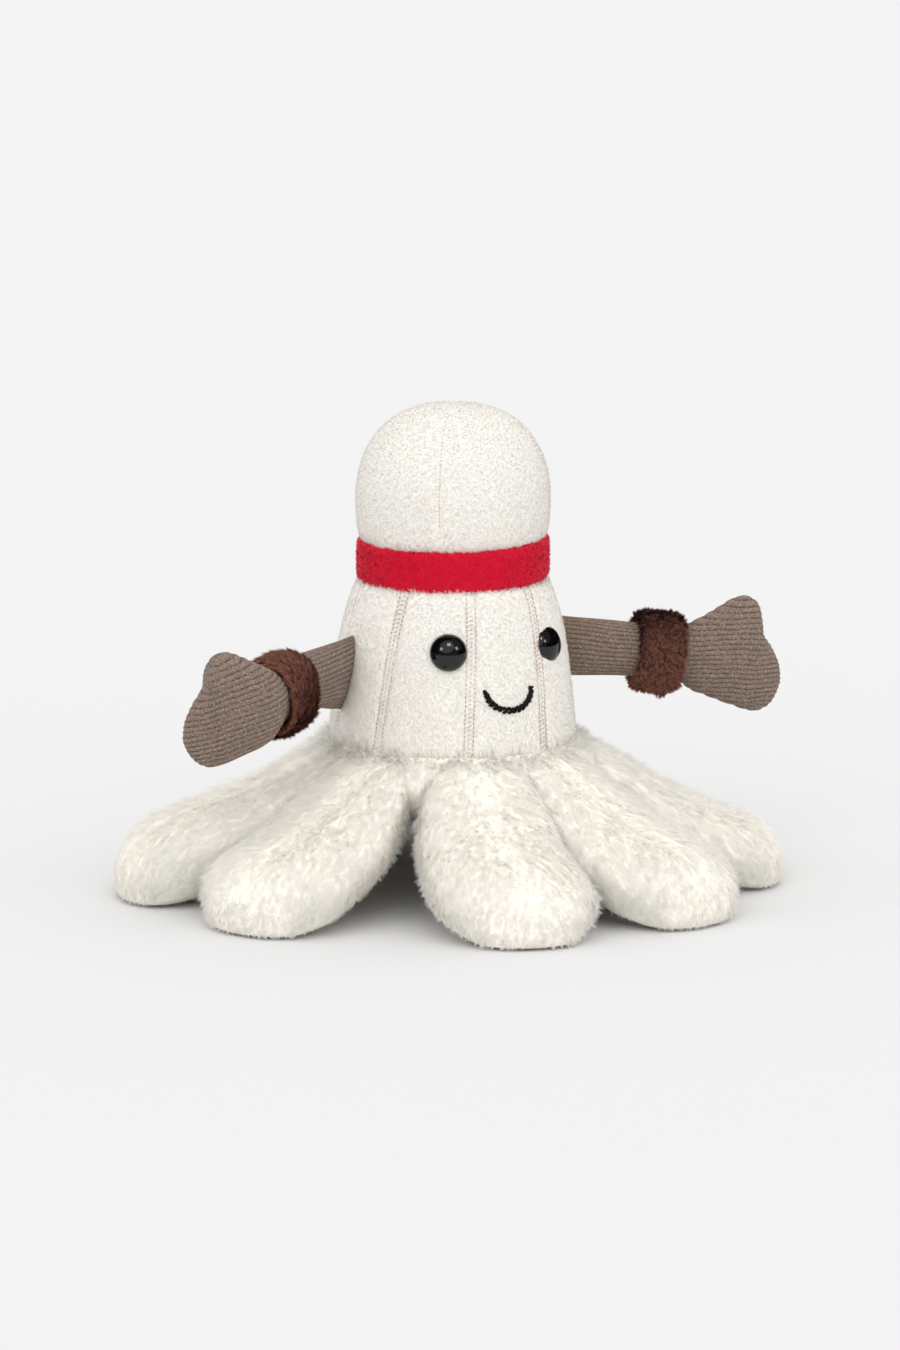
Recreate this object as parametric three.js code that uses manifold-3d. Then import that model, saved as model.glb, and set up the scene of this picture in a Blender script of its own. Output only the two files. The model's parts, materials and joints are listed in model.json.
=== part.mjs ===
// Plush shuttlecock toy, in millimetres, with +Z up and its front towards -Y.
// A domed cork and a nine-panelled skirt stand on nine stuffed feather legs, with a corduroy arm sewn
// into a seam on each side. The origin lies on the table, under the middle of the toy.
import * as THREE from "three";
import { mergeVertices } from "three/addons/utils/BufferGeometryUtils.js";
import Module from "manifold-3d";

const wasm = await Module();
wasm.setup();

// Clearances
const SEAT_GAP = 0.3; // between pieces that lie against each other
const SEAM_GAP = 0.3; // between two panels, where their seam runs

// Cloth
const PLUSH_WALL = 1.2;
const CORD_WALL = 1.0;
const FUR_WALL = 1.4;

// Cork dome, in four gores
const DOME_TOP = 119;
const DOME_EQUATOR = 95.5;
const DOME_RADIUS = 24.2;
const DOME_FULLNESS = 2.45; // exponent of its superellipse: 2 is an ellipse, more is squarer
const DOME_HOLE = 0.7; // where the gores' points meet
const GORES = 4;
const GORE_TURN = -36; // azimuth of the seam that shows at the front

// Neck, where the dome meets the skirt under the band
const NECK_RADIUS = 22.2;
const NECK_JOIN = 81.5;
const BAND_LOW = 76.5;
const BAND_HIGH = 86;
const BAND_THICKNESS = 1.1;

// Skirt, in nine panels whose seams are the quills
const PANELS = 9;
const HEM_RADIUS = 30.3;
const WAIST = 57;
const WAIST_RADIUS = 28.1;
const SHOULDER = 71;
const SHOULDER_RADIUS = 25.6;
const CREASE = 75.2; // where the band draws the skirt in
const CREASE_RADIUS = 23.9;
const PANEL_CROWN = 0.7; // how far a panel swells between its seams

// Feather legs
const LEGS = 9;
const LEG_HINGE_RADIUS = 30.3;
const LEG_HINGE_HEIGHT = 27.5;
const LEG_SLOPE = 25; // degrees below level where a leg leaves the body
const KNUCKLE_RADIUS = 6.8;
const COVER_START = 8; // from the hinge to the rim of the fur cover
const NECK_SHARE = 0.96; // of the knuckle's radius, how far along the filling is at its neck
const LEG_WIDTH = 35.2;
const LEG_THICKNESS = 20.2;
const QUILL_DEPTH = 1.3; // of the stitched line down the middle of a leg
const FOOT_CUT = 0.5; // how far the foot is pressed flat on the table
const LEG_LENGTHS = [53.2, 51.4, 44, 47, 50.8, 44, 54.4, 53.2, 53.2];
const LEG_TURNS = [-1.5, 0, 0, 0, 0, 0, 1, -1, 2.5]; // degrees from an even spacing

// Base
const BASE_RADIUS = 25.2;
const BASE_THICKNESS = 1.5;
const POUCH_RADIUS = 15;
const POUCH_HEIGHT = 12.4;

// Yoke, the ring of fur that joins the skirt to the legs
const YOKE_START = 40; // degrees above level, seen from the leg hinge
const YOKE_END = 97;

// Face
const EYE_DIAMETER = 9;
const EYE_HEIGHT = 62.3;
const EYE_AZIMUTH = 31;
const EYE_DOME = 3;
const STEM_RADIUS = 1.2;
const STEM_LENGTH = 5;
const WASHER_RADIUS = 4;
const WASHER_THICKNESS = 0.8;
const SMILE_RADIUS = 6.1;
const SMILE_DEPTH = 5.1;
const SMILE_HEIGHT = 53.7;
const SMILE_THREAD = 1.5;

// Arms
const ARM_AZIMUTH = 100; // of the seams that hold them
const ARM_HEIGHT = 55.5;
const TAB_HEIGHT = 16.4;
const TAB_LENGTH = 5;
const TAB_THICKNESS = 2;
const RAISE_REACH = 9; // from the seam to the axis on which the arm rises
const ARM_END_RADIUS = 8;
const SLEEVE_LENGTH = 36.6;
const SLEEVE_HEIGHT = 14.2;
const SLEEVE_THICKNESS = 10.8;
const CUFF_LENGTH = 13.6;
const CUFF_END = 35.9;
const CUFF_THICKNESS = 2.6;
const HAND_LENGTH = 23.8;
const HAND_THICKNESS = 12.6;
const WRIST_REACH = 5.6; // from the end of the sleeve to the axis on which the hand bends
const ARM_POSES = {
  left: { side: 1, swing: 28, droop: 12, bend: 0, tip: 3 },
  right: { side: -1, swing: 47, droop: 11, bend: 51, tip: 10 },
};

const PLUSH = { color: 0xece6da, roughness: 0.95 };
const FUR = { color: 0xf1ece2, roughness: 1 };
const CORDUROY = { color: 0x7c6e62, roughness: 0.95 };
const CUFF_FUR = { color: 0x4d2a23, roughness: 1 };
const BAND_PILE = { color: 0xc4152f, roughness: 0.95 };
const GLOSS_BLACK = { color: 0x0b0b0c, roughness: 0.15 };
const THREAD = { color: 0x17140f, roughness: 0.7 };
const FILLING = { color: 0xf4f4f2, roughness: 1 };
const FELT = { color: 0xe4dccd, roughness: 1 };
const WASHER = { color: 0xdcdcd8, roughness: 0.5 };

const toy = new THREE.Group();

// Helpers

// A point at an azimuth in degrees (0 is the front, 90 is +X), a radius and a height.
function around(azimuth, radius, height) {
  const a = THREE.MathUtils.degToRad(azimuth);
  return new THREE.Vector3(radius * Math.sin(a), -radius * Math.cos(a), height);
}

function add(parent, name, geometry, look) {
  const mesh = new THREE.Mesh(geometry, new THREE.MeshStandardMaterial({ metalness: 0, ...look }));
  mesh.name = name;
  parent.add(mesh);
  return mesh;
}

// A geometry from points and faces, turned so that its faces point out.
function closed(points, faces) {
  let volume = 0;
  for (const [a, b, c] of faces) volume += points[a].dot(points[b].clone().cross(points[c]));
  const index = volume < 0 ? faces.flatMap(([a, b, c]) => [a, c, b]) : faces.flat();
  const geometry = new THREE.BufferGeometry().setFromPoints(points);
  return geometry.setIndex(index);
}

// A skin over rings of points. Its two ends are single points, or it closes on itself as a hoop.
function loft(rings, hoop = false) {
  const points = [];
  const starts = rings.map((ring) => points.push(...ring) - ring.length);
  const faces = [];
  const spans = hoop ? rings.length : rings.length - 1;
  for (let i = 0; i < spans; i++) {
    const next = (i + 1) % rings.length;
    const around = Math.max(rings[i].length, rings[next].length);
    for (let k = 0; k < around; k++) {
      const at = (ring, step) => starts[ring] + ((k + step) % around) % rings[ring].length;
      if (rings[i].length > 1) faces.push([at(i, 0), at(i, 1), at(next, 0)]);
      if (rings[next].length > 1) faces.push([at(i, 1), at(next, 1), at(next, 0)]);
    }
  }
  return closed(points, faces);
}

// A sheet of cloth between an outer and an inner grid of points, closed along its four edges.
function sheet(outer, inner) {
  const rows = outer.length;
  const columns = outer[0].length;
  const points = [...outer.flat(), ...inner.flat()];
  const out = (i, k) => i * columns + k;
  const into = (i, k) => rows * columns + out(i, k);
  const faces = [];
  const quad = (a, b, c, d) => faces.push([a, b, c], [a, c, d]);
  for (let i = 0; i < rows - 1; i++)
    for (let k = 0; k < columns - 1; k++) {
      quad(out(i, k), out(i, k + 1), out(i + 1, k + 1), out(i + 1, k));
      quad(into(i, k), into(i + 1, k), into(i + 1, k + 1), into(i, k + 1));
    }
  for (let i = 0; i < rows - 1; i++) {
    quad(out(i, 0), out(i + 1, 0), into(i + 1, 0), into(i, 0));
    quad(out(i, columns - 1), into(i, columns - 1), into(i + 1, columns - 1), out(i + 1, columns - 1));
  }
  for (let k = 0; k < columns - 1; k++) {
    quad(out(0, k), into(0, k), into(0, k + 1), out(0, k + 1));
    quad(out(rows - 1, k), out(rows - 1, k + 1), into(rows - 1, k + 1), into(rows - 1, k));
  }
  return closed(points, faces);
}

// A profile of [radius, height] pairs turned round the Z axis. It starts and ends on the axis, or closes.
function revolve(profile, segments) {
  const points = profile.map(([radius, height]) => new THREE.Vector2(radius, height));
  if (profile[0][0] > 0) points.push(points[0].clone());
  const turned = new THREE.LatheGeometry(points, segments).rotateX(Math.PI / 2);
  const merged = bare(turned);
  const corners = merged.getAttribute("position");
  const found = Array.from({ length: corners.count }, (_, i) =>
    new THREE.Vector3().fromBufferAttribute(corners, i),
  );
  const faces = [];
  for (let i = 0; i < merged.index.count; i += 3) {
    const face = [0, 1, 2].map((k) => merged.index.getX(i + k));
    if (new Set(face).size === 3) faces.push(face);
  }
  return closed(found, faces);
}

// A geometry with only its positions, its shared corners merged.
function bare(geometry) {
  const copy = geometry.clone();
  copy.deleteAttribute("normal");
  copy.deleteAttribute("uv");
  return mergeVertices(copy, 1e-4);
}

function solidOf(geometry) {
  const merged = bare(geometry);
  const mesh = new wasm.Mesh({
    numProp: 3,
    vertProperties: new Float32Array(merged.getAttribute("position").array),
    triVerts: new Uint32Array(merged.index.array),
  });
  return new wasm.Manifold(mesh);
}

function geometryOf(solid) {
  const mesh = solid.getMesh();
  const geometry = new THREE.BufferGeometry();
  geometry.setAttribute("position", new THREE.BufferAttribute(mesh.vertProperties, 3));
  return geometry.setIndex(new THREE.BufferAttribute(mesh.triVerts, 1));
}

function cut(geometry, tools) {
  const solid = tools.reduce((left, tool) => left.subtract(solidOf(tool)), solidOf(geometry));
  return geometryOf(solid);
}

// The value at x of a smooth line through [x, value] pairs.
function smooth(pairs, x) {
  const last = pairs.length - 1;
  const at = (i) => pairs[Math.min(last, Math.max(0, i))];
  let i = 0;
  while (i < last - 1 && x > at(i + 1)[0]) i++;
  const [x0, y0] = at(i);
  const [x1, y1] = at(i + 1);
  const slope = (a, b) => (b[1] - a[1]) / (b[0] - a[0] || 1);
  const run = x1 - x0;
  const m0 = (i > 0 ? slope(at(i - 1), at(i + 1)) : slope(at(0), at(1))) * run;
  const m1 = (i + 1 < last ? slope(at(i), at(i + 2)) : slope(at(last - 1), at(last))) * run;
  const t = THREE.MathUtils.clamp((x - x0) / run, 0, 1);
  const rise = y1 - y0;
  return y0 + m0 * t + (3 * rise - 2 * m0 - m1) * t * t + (m0 + m1 - 2 * rise) * t * t * t;
}

// One ring of a stuffed limb: a rounded section, half as high as height and half as thick as thickness.
const SECTION_POINTS = 12;
const SECTION_FULLNESS = 2.3;
function section(height, thickness, place) {
  return Array.from({ length: SECTION_POINTS }, (_, k) => {
    const a = (2 * Math.PI * k) / SECTION_POINTS;
    const power = (value) => Math.sign(value) * Math.abs(value) ** (2 / SECTION_FULLNESS);
    return place(height * power(Math.cos(a)), thickness * power(Math.sin(a)), k);
  });
}

// Dome and skirt surfaces, as the radius of the cloth's outside at a height

const yokeInside = KNUCKLE_RADIUS + SEAT_GAP;
const yokeOutside = yokeInside + FUR_WALL;
const hem = LEG_HINGE_HEIGHT + yokeOutside + SEAT_GAP; // the skirt's lower edge rests on the yoke
const neckStart = BAND_LOW - SEAT_GAP;

function skirtRadius(height) {
  const line = [
    [hem, HEM_RADIUS],
    [WAIST, WAIST_RADIUS],
    [SHOULDER, SHOULDER_RADIUS],
    [CREASE, CREASE_RADIUS],
    [neckStart, NECK_RADIUS],
    [NECK_JOIN, NECK_RADIUS],
  ];
  return height > neckStart ? NECK_RADIUS : smooth(line, height);
}

// How far a panel stands out of the circle through its seams, at a share -1 to 1 across it.
function crown(height, share) {
  const up = THREE.MathUtils.clamp((height - hem) / (neckStart - hem), 0, 1);
  return PANEL_CROWN * 4 * up * (1 - up) * (1 - share * share);
}

function domeRadius(height) {
  const up = (height - DOME_EQUATOR) / (DOME_TOP - DOME_EQUATOR);
  return DOME_RADIUS * (1 - up ** DOME_FULLNESS) ** (1 / DOME_FULLNESS);
}

// The dome's outline from under the band up to its hole, as [radius, height] pairs.
function domeOutline() {
  const lip = NECK_JOIN + SEAM_GAP / 2;
  const swell = BAND_HIGH + 0.2;
  const low = [
    [NECK_RADIUS, lip],
    [NECK_RADIUS, swell],
    [NECK_RADIUS + 1.1, swell + 1.2],
    [DOME_RADIUS - 0.3, swell + 4.2],
    [DOME_RADIUS, DOME_EQUATOR],
  ];
  const high = [0.35, 0.62, 0.82, 0.94, 0.99].map((up) => {
    const height = DOME_EQUATOR + up * (DOME_TOP - DOME_EQUATOR);
    return [domeRadius(height), height];
  });
  return [...low, ...high, [DOME_HOLE, DOME_TOP]];
}

// An outline moved towards the axis and down by a depth, along its own normals.
function inset(outline, depth) {
  return outline.map(([radius, height], i) => {
    const [r0, h0] = outline[Math.max(0, i - 1)];
    const [r1, h1] = outline[Math.min(outline.length - 1, i + 1)];
    const run = Math.hypot(r1 - r0, h1 - h0);
    const down = i === 0 ? 0 : ((r1 - r0) / run) * depth;
    return [Math.max(DOME_HOLE, radius - ((h1 - h0) / run) * depth), height + down];
  });
}

// Cork dome: its gores and the filling that rounds them out

function gore(outline, from, to) {
  const STEPS = 5;
  return outline.map(([radius, height]) => {
    const edge = THREE.MathUtils.radToDeg(Math.asin(Math.min(0.9, SEAM_GAP / 2 / radius)));
    return Array.from({ length: STEPS + 1 }, (_, k) =>
      around(THREE.MathUtils.lerp(from + edge, to - edge, k / STEPS), radius, height),
    );
  });
}

const DOME_LINE = domeOutline();
for (let i = 0; i < GORES; i++) {
  const from = GORE_TURN + (360 / GORES) * i;
  const to = from + 360 / GORES;
  const outside = gore(DOME_LINE, from, to);
  const inside = gore(inset(DOME_LINE, PLUSH_WALL), from, to);
  add(toy, `cork_gore_${i + 1}`, sheet(outside, inside), PLUSH);
}

const domeFilling = inset(DOME_LINE, PLUSH_WALL + SEAT_GAP).filter(([radius]) => radius > DOME_HOLE);
const domeFillingTop = DOME_TOP - PLUSH_WALL - SEAT_GAP;
const FILLING_SEGMENTS = 18;
// The chords of a coarse filling stay inside the smoother cloth round it.
add(
  toy,
  "cork_filling",
  revolve([[0, domeFilling[0][1]], ...domeFilling, [0, domeFillingTop]], FILLING_SEGMENTS),
  FILLING,
);

// Band round the neck

const bandInside = NECK_RADIUS + SEAT_GAP;
const bandOutside = bandInside + BAND_THICKNESS;
const BAND_EDGE = 0.5;
const band = [
  [bandInside, BAND_LOW],
  [bandOutside - BAND_EDGE, BAND_LOW],
  [bandOutside, BAND_LOW + 2 * BAND_EDGE],
  [bandOutside, BAND_HIGH - 2 * BAND_EDGE],
  [bandOutside - BAND_EDGE, BAND_HIGH],
  [bandInside, BAND_HIGH],
];
add(toy, "neck_band", revolve(band, 36), BAND_PILE);

// Skirt: nine panels, two of them pierced for the eyes

const PANEL_ANGLE = 360 / PANELS;
const skirtHeights = [0, 0.2, 0.42, 0.62, 0.82, 0.94].map((share) => THREE.MathUtils.lerp(hem, CREASE, share));
skirtHeights.push(CREASE, neckStart, NECK_JOIN - SEAM_GAP / 2);

function panelGrid(middle, depth) {
  const STEPS = 5;
  return skirtHeights.map((height) => {
    const radius = skirtRadius(height) - depth;
    const half = PANEL_ANGLE / 2 - THREE.MathUtils.radToDeg(SEAM_GAP / 2 / radius);
    return Array.from({ length: STEPS + 1 }, (_, k) => {
      const share = (2 * k) / STEPS - 1;
      return around(middle + share * half, radius + crown(height, share), height);
    });
  });
}

// The point on the outside of the skirt at an azimuth and a height, raised along Z's radius by outward.
function skirtPoint(azimuth, height, outward = 0) {
  const share = ((((azimuth + PANEL_ANGLE / 2) % PANEL_ANGLE) + PANEL_ANGLE) % PANEL_ANGLE) / PANEL_ANGLE;
  return around(azimuth, skirtRadius(height) + crown(height, share * 2 - 1) + outward, height);
}

// A frame on the skirt, its z axis along the outward normal and its origin raised off the cloth.
function onSkirt(azimuth, height, outward) {
  const reach = 3;
  const along = skirtPoint(azimuth + reach, height).sub(skirtPoint(azimuth - reach, height));
  const up = skirtPoint(azimuth, height + reach).sub(skirtPoint(azimuth, height - reach));
  const normal = along.cross(up).normalize();
  const frame = new THREE.Group();
  frame.position.copy(skirtPoint(azimuth, height)).addScaledVector(normal, outward);
  frame.quaternion.setFromUnitVectors(new THREE.Vector3(0, 0, 1), normal);
  return frame;
}

function placed(geometry, frame) {
  frame.updateMatrix();
  return geometry.applyMatrix4(frame.matrix);
}

const EYES = { left: EYE_AZIMUTH, right: -EYE_AZIMUTH };
const stemBore = () => new THREE.CylinderGeometry(STEM_RADIUS + SEAT_GAP, STEM_RADIUS + SEAT_GAP, 8, 16);
const stemBores = Object.values(EYES).map((azimuth) =>
  placed(stemBore().rotateX(Math.PI / 2), onSkirt(azimuth, EYE_HEIGHT, 0)),
);

for (let i = 0; i < PANELS; i++) {
  const middle = PANEL_ANGLE * i;
  const panel = sheet(panelGrid(middle, 0), panelGrid(middle, PLUSH_WALL));
  const pierced = i === 1 || i === PANELS - 1;
  add(toy, `skirt_panel_${i + 1}`, pierced ? cut(panel, stemBores) : panel, PLUSH);
}

// Body filling, with a pocket below for the bead pouch and recesses for the eyes' washers

const fillingFloor = LEG_HINGE_HEIGHT - KNUCKLE_RADIUS;
const columnRadius = LEG_HINGE_RADIUS - KNUCKLE_RADIUS - SEAT_GAP;
const fillingDepth = PLUSH_WALL + SEAT_GAP;
const ledge = LEG_HINGE_HEIGHT + KNUCKLE_RADIUS + SEAT_GAP;
const pocketRadius = POUCH_RADIUS + SEAT_GAP;
const pocketTop = fillingFloor + POUCH_HEIGHT + 2 * SEAT_GAP;
const bodyOutline = [
  [0, pocketTop],
  [pocketRadius, pocketTop],
  [pocketRadius, fillingFloor],
  [columnRadius, fillingFloor],
  [columnRadius, ledge],
  [HEM_RADIUS - fillingDepth - 0.2, ledge],
  ...skirtHeights.slice(1, -1).map((height) => [skirtRadius(height) - fillingDepth, height]),
  [NECK_RADIUS - fillingDepth, NECK_JOIN - SEAT_GAP],
  [0, NECK_JOIN - SEAT_GAP],
];
const washerRecess = () => {
  const radius = WASHER_RADIUS + SEAT_GAP;
  const deep = STEM_LENGTH + SEAT_GAP;
  const recess = new THREE.CylinderGeometry(radius, radius, deep, 20).rotateX(Math.PI / 2);
  return recess.translate(0, 0, -deep / 2);
};
const recesses = Object.values(EYES).map((azimuth) => placed(washerRecess(), onSkirt(azimuth, EYE_HEIGHT, 0)));
add(toy, "body_filling", cut(revolve(bodyOutline, FILLING_SEGMENTS), recesses), FILLING);

// Base disc and the bead pouch that it holds up

const baseTop = fillingFloor - SEAT_GAP;
const baseLow = baseTop - BASE_THICKNESS;
add(
  toy,
  "base_disc",
  revolve(
    [
      [0, baseLow],
      [BASE_RADIUS, baseLow],
      [BASE_RADIUS, baseTop],
      [0, baseTop],
    ],
    30,
  ),
  FELT,
);

const pouchLow = baseTop + SEAT_GAP;
const POUCH_STEPS = 7;
const pouch = Array.from({ length: POUCH_STEPS + 1 }, (_, k) => {
  const a = -Math.PI / 2 + (Math.PI * k) / POUCH_STEPS;
  const power = (value) => Math.sign(value) * Math.abs(value) ** 0.6;
  const height = pouchLow + (POUCH_HEIGHT / 2) * (1 + power(Math.sin(a)));
  return [k === 0 || k === POUCH_STEPS ? 0 : POUCH_RADIUS * power(Math.cos(a)), height];
});
add(toy, "bead_pouch", revolve(pouch, 16), FELT);

// Yoke: an arc of fur over the legs' knuckles, turned round the toy

function yokeArc(radius, from, to) {
  const STEPS = 3;
  return Array.from({ length: STEPS + 1 }, (_, k) => {
    const a = THREE.MathUtils.degToRad(THREE.MathUtils.lerp(from, to, k / STEPS));
    return [LEG_HINGE_RADIUS + radius * Math.cos(a), LEG_HINGE_HEIGHT + radius * Math.sin(a)];
  });
}
const yoke = [...yokeArc(yokeOutside, YOKE_START, YOKE_END), ...yokeArc(yokeInside, YOKE_END, YOKE_START)];
add(toy, "fur_yoke", revolve(yoke, 36), FUR);

// Eyes: a glossy dome on a stem that goes through the panel and locks in a washer behind it

const eyeRadius = EYE_DIAMETER / 2;
const EYE_RIM = 0.7;
const eyeProfile = [
  [0, -STEM_LENGTH],
  [STEM_RADIUS, -STEM_LENGTH],
  [STEM_RADIUS, 0],
  [eyeRadius - EYE_RIM / 2, 0],
  [eyeRadius, EYE_RIM / 2],
  ...[18, 40, 64].map((degrees) => {
    const a = THREE.MathUtils.degToRad(degrees);
    return [eyeRadius * Math.cos(a), EYE_RIM / 2 + (EYE_DOME - EYE_RIM / 2) * Math.sin(a)];
  }),
  [0, EYE_DOME],
];
const washerFront = -PLUSH_WALL - SEAT_GAP - 0.4;
const washerProfile = [
  [STEM_RADIUS + SEAT_GAP, washerFront - WASHER_THICKNESS],
  [WASHER_RADIUS, washerFront - WASHER_THICKNESS],
  [WASHER_RADIUS, washerFront],
  [STEM_RADIUS + SEAT_GAP, washerFront],
];
for (const [side, azimuth] of Object.entries(EYES)) {
  const eye = onSkirt(azimuth, EYE_HEIGHT, SEAT_GAP);
  add(eye, `eye_${side}`, revolve(eyeProfile, 20), GLOSS_BLACK);
  toy.add(eye);
  const behind = onSkirt(azimuth, EYE_HEIGHT, 0);
  add(behind, `eye_washer_${side}`, revolve(washerProfile, 12), WASHER);
  toy.add(behind);
}

// Smile: one embroidered cord, bent in a half circle over the front panel

class Smile extends THREE.Curve {
  getPoint(t, target = new THREE.Vector3()) {
    const a = Math.PI * (1 + t);
    const height = SMILE_HEIGHT + SMILE_DEPTH * Math.sin(a);
    const out = skirtRadius(height) + PANEL_CROWN + SEAT_GAP / 2 + SMILE_THREAD / 2;
    const azimuth = THREE.MathUtils.radToDeg((SMILE_RADIUS * Math.cos(a)) / out);
    return target.copy(around(azimuth, out, height));
  }
}
const threadShape = new THREE.Shape().absarc(0, 0, SMILE_THREAD / 2, 0, 2 * Math.PI);
const smile = new THREE.ExtrudeGeometry(threadShape, {
  steps: 14,
  curveSegments: 4,
  extrudePath: new Smile(),
});
add(toy, "smile", bare(smile), THREAD);

// Feather legs. A leg is drawn along +X from its hinge at the origin, then turned to its place.

const COVER_STATIONS = [0, 0.13, 0.28, 0.45, 0.62, 0.76, 0.88, 0.96, 0.993];

// A leg's middle line, half width and half thickness, at a distance along it as a share of its length.
function legAt(share, length) {
  const slope = Math.tan(THREE.MathUtils.degToRad(LEG_SLOPE));
  const start = COVER_START / length;
  const floor = LEG_THICKNESS / 2 - FOOT_CUT - LEG_HINGE_HEIGHT;
  const line = [
    [0, 0],
    [start, -slope * COVER_START],
    [0.4, 0.62 * floor],
    [0.66, floor + 1.2],
    [0.83, floor - 1.7],
    [0.93, floor - 4],
    [1, floor - 5.4],
  ];
  const width = [
    [start, 0.3 * LEG_WIDTH],
    [0.4, 0.43 * LEG_WIDTH],
    [0.66, 0.5 * LEG_WIDTH],
    [0.83, 0.49 * LEG_WIDTH],
    [0.93, 0.43 * LEG_WIDTH],
    [0.985, 0.27 * LEG_WIDTH],
    [1, 0.1 * LEG_WIDTH],
  ];
  const thickness = [
    [start, 0.42 * LEG_THICKNESS],
    [0.4, 0.48 * LEG_THICKNESS],
    [0.66, 0.5 * LEG_THICKNESS],
    [0.83, 0.47 * LEG_THICKNESS],
    [0.93, 0.4 * LEG_THICKNESS],
    [0.985, 0.24 * LEG_THICKNESS],
    [1, 0.1 * LEG_THICKNESS],
  ];
  return { height: smooth(line, share), width: smooth(width, share), thickness: smooth(thickness, share) };
}

// One ring of a leg, its cloth moved in by depth and its underside pressed flat on the table.
function legRing(share, length, depth) {
  const { height, width, thickness } = legAt(share, length);
  const table = -LEG_HINGE_HEIGHT + depth;
  const quill = QUILL_DEPTH * Math.min(1, 4 * (1 - share));
  return section(width - depth, thickness - depth, (y, z, k) => {
    const dip = k === Math.round(SECTION_POINTS / 4) ? quill : 0;
    return new THREE.Vector3(share * length, y, Math.max(table, height + z - dip));
  });
}

function legTip(length, depth) {
  const { height } = legAt(1, length);
  return [new THREE.Vector3(length - depth, 0, height)];
}

// Every station of a leg between its rim and its tip, as a share of its length.
function legShares(length, depth) {
  const start = COVER_START / length;
  const reach = 1 - depth / length;
  return COVER_STATIONS.map((station) => start + (reach - start) * station);
}

function legCover(length) {
  const outside = legShares(length, 0).map((share) => legRing(share, length, 0));
  const inside = legShares(length, FUR_WALL).map((share) => legRing(share, length, FUR_WALL));
  inside[0] = legRing(legShares(length, 0)[0], length, FUR_WALL);
  return loft([legTip(length, 0), ...outside.reverse(), ...inside, legTip(length, FUR_WALL)]);
}

// The filling ends at the body in a round knuckle, on whose axis the leg swings.
function legFilling(length) {
  const depth = FUR_WALL + SEAT_GAP;
  const rings = legShares(length, depth).slice(0, -1).map((share) => legRing(share, length, depth));
  const knuckleWidth = 0.3 * LEG_WIDTH - depth - 1.2;
  const knuckle = [-0.88, -0.3, 0.4].map((share) => {
    const thick = KNUCKLE_RADIUS * Math.sqrt(1 - share * share);
    return section(knuckleWidth, thick, (y, z) => new THREE.Vector3(KNUCKLE_RADIUS * share, y, z));
  });
  const neckHalf = 0.78 * KNUCKLE_RADIUS;
  const neck = section(knuckleWidth + 0.6, neckHalf, (y, z) => {
    return new THREE.Vector3(NECK_SHARE * KNUCKLE_RADIUS, y, z - 0.44 * KNUCKLE_RADIUS);
  });
  const back = [new THREE.Vector3(-KNUCKLE_RADIUS, 0, 0)];
  return loft([back, ...knuckle, neck, ...rings, legTip(length, 2 * depth)]);
}

for (let i = 0; i < LEGS; i++) {
  const azimuth = (360 / LEGS) * (i + 0.5) + LEG_TURNS[i];
  const leg = new THREE.Group();
  leg.name = `leg_hinge_${i + 1}`;
  leg.position.copy(around(azimuth, LEG_HINGE_RADIUS, LEG_HINGE_HEIGHT));
  leg.rotation.z = THREE.MathUtils.degToRad(azimuth - 90);
  add(leg, `leg_${i + 1}`, legCover(LEG_LENGTHS[i]), FUR);
  add(leg, `leg_filling_${i + 1}`, legFilling(LEG_LENGTHS[i]), FILLING);
  toy.add(leg);
}

// Arms. An arm is drawn along +X from its seam at the origin, with its thumb up, then bent to its pose.

// The flat end of the sleeve that the skirt's seam holds, hollowed for the round end of the arm.
function tabGeometry() {
  const hollow = ARM_END_RADIUS + SEAT_GAP;
  const reach = Math.asin(TAB_HEIGHT / 2 / hollow);
  const corner = Math.min(TAB_LENGTH, RAISE_REACH - hollow * Math.cos(reach));
  const from = Math.PI - Math.acos((RAISE_REACH - corner) / hollow);
  const shape = new THREE.Shape();
  shape.moveTo(0, -TAB_HEIGHT / 2);
  shape.lineTo(corner, -TAB_HEIGHT / 2);
  shape.lineTo(RAISE_REACH + hollow * Math.cos(-from), hollow * Math.sin(-from));
  shape.absarc(RAISE_REACH, 0, hollow, -from, -2 * Math.PI + from, true);
  shape.lineTo(corner, TAB_HEIGHT / 2);
  shape.lineTo(0, TAB_HEIGHT / 2);
  const flat = new THREE.ExtrudeGeometry(shape, { depth: TAB_THICKNESS, bevelEnabled: false, curveSegments: 10 });
  flat.translate(0, 0, -TAB_THICKNESS / 2).rotateX(Math.PI / 2);
  const edge = new THREE.CylinderGeometry(TAB_THICKNESS / 2, TAB_THICKNESS / 2, TAB_HEIGHT, 12);
  return geometryOf(solidOf(flat).add(solidOf(edge.rotateX(Math.PI / 2))));
}

const SLEEVE_STATIONS = [1.6, 3, 5, 7, 9, 13, 18, 22, 29, 36];
const cuffMiddle = CUFF_END - CUFF_LENGTH / 2;

function sleeveAt(x) {
  const height = [
    [RAISE_REACH, ARM_END_RADIUS],
    [16, SLEEVE_HEIGHT / 2 + 0.3],
    [cuffMiddle, SLEEVE_HEIGHT / 2 - 0.4],
    [SLEEVE_LENGTH, SLEEVE_HEIGHT / 2 - 0.5],
  ];
  const thickness = [
    [RAISE_REACH - ARM_END_RADIUS, 0.9],
    [RAISE_REACH, 3],
    [18, SLEEVE_THICKNESS / 2 - 0.2],
    [cuffMiddle, SLEEVE_THICKNESS / 2],
    [SLEEVE_LENGTH, SLEEVE_THICKNESS / 2 - 0.2],
  ];
  const back = Math.max(0, RAISE_REACH - x);
  const round = Math.sqrt(Math.max(0, ARM_END_RADIUS ** 2 - back ** 2));
  return { height: back > 0 ? round : smooth(height, x), thickness: smooth(thickness, x) };
}

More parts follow.
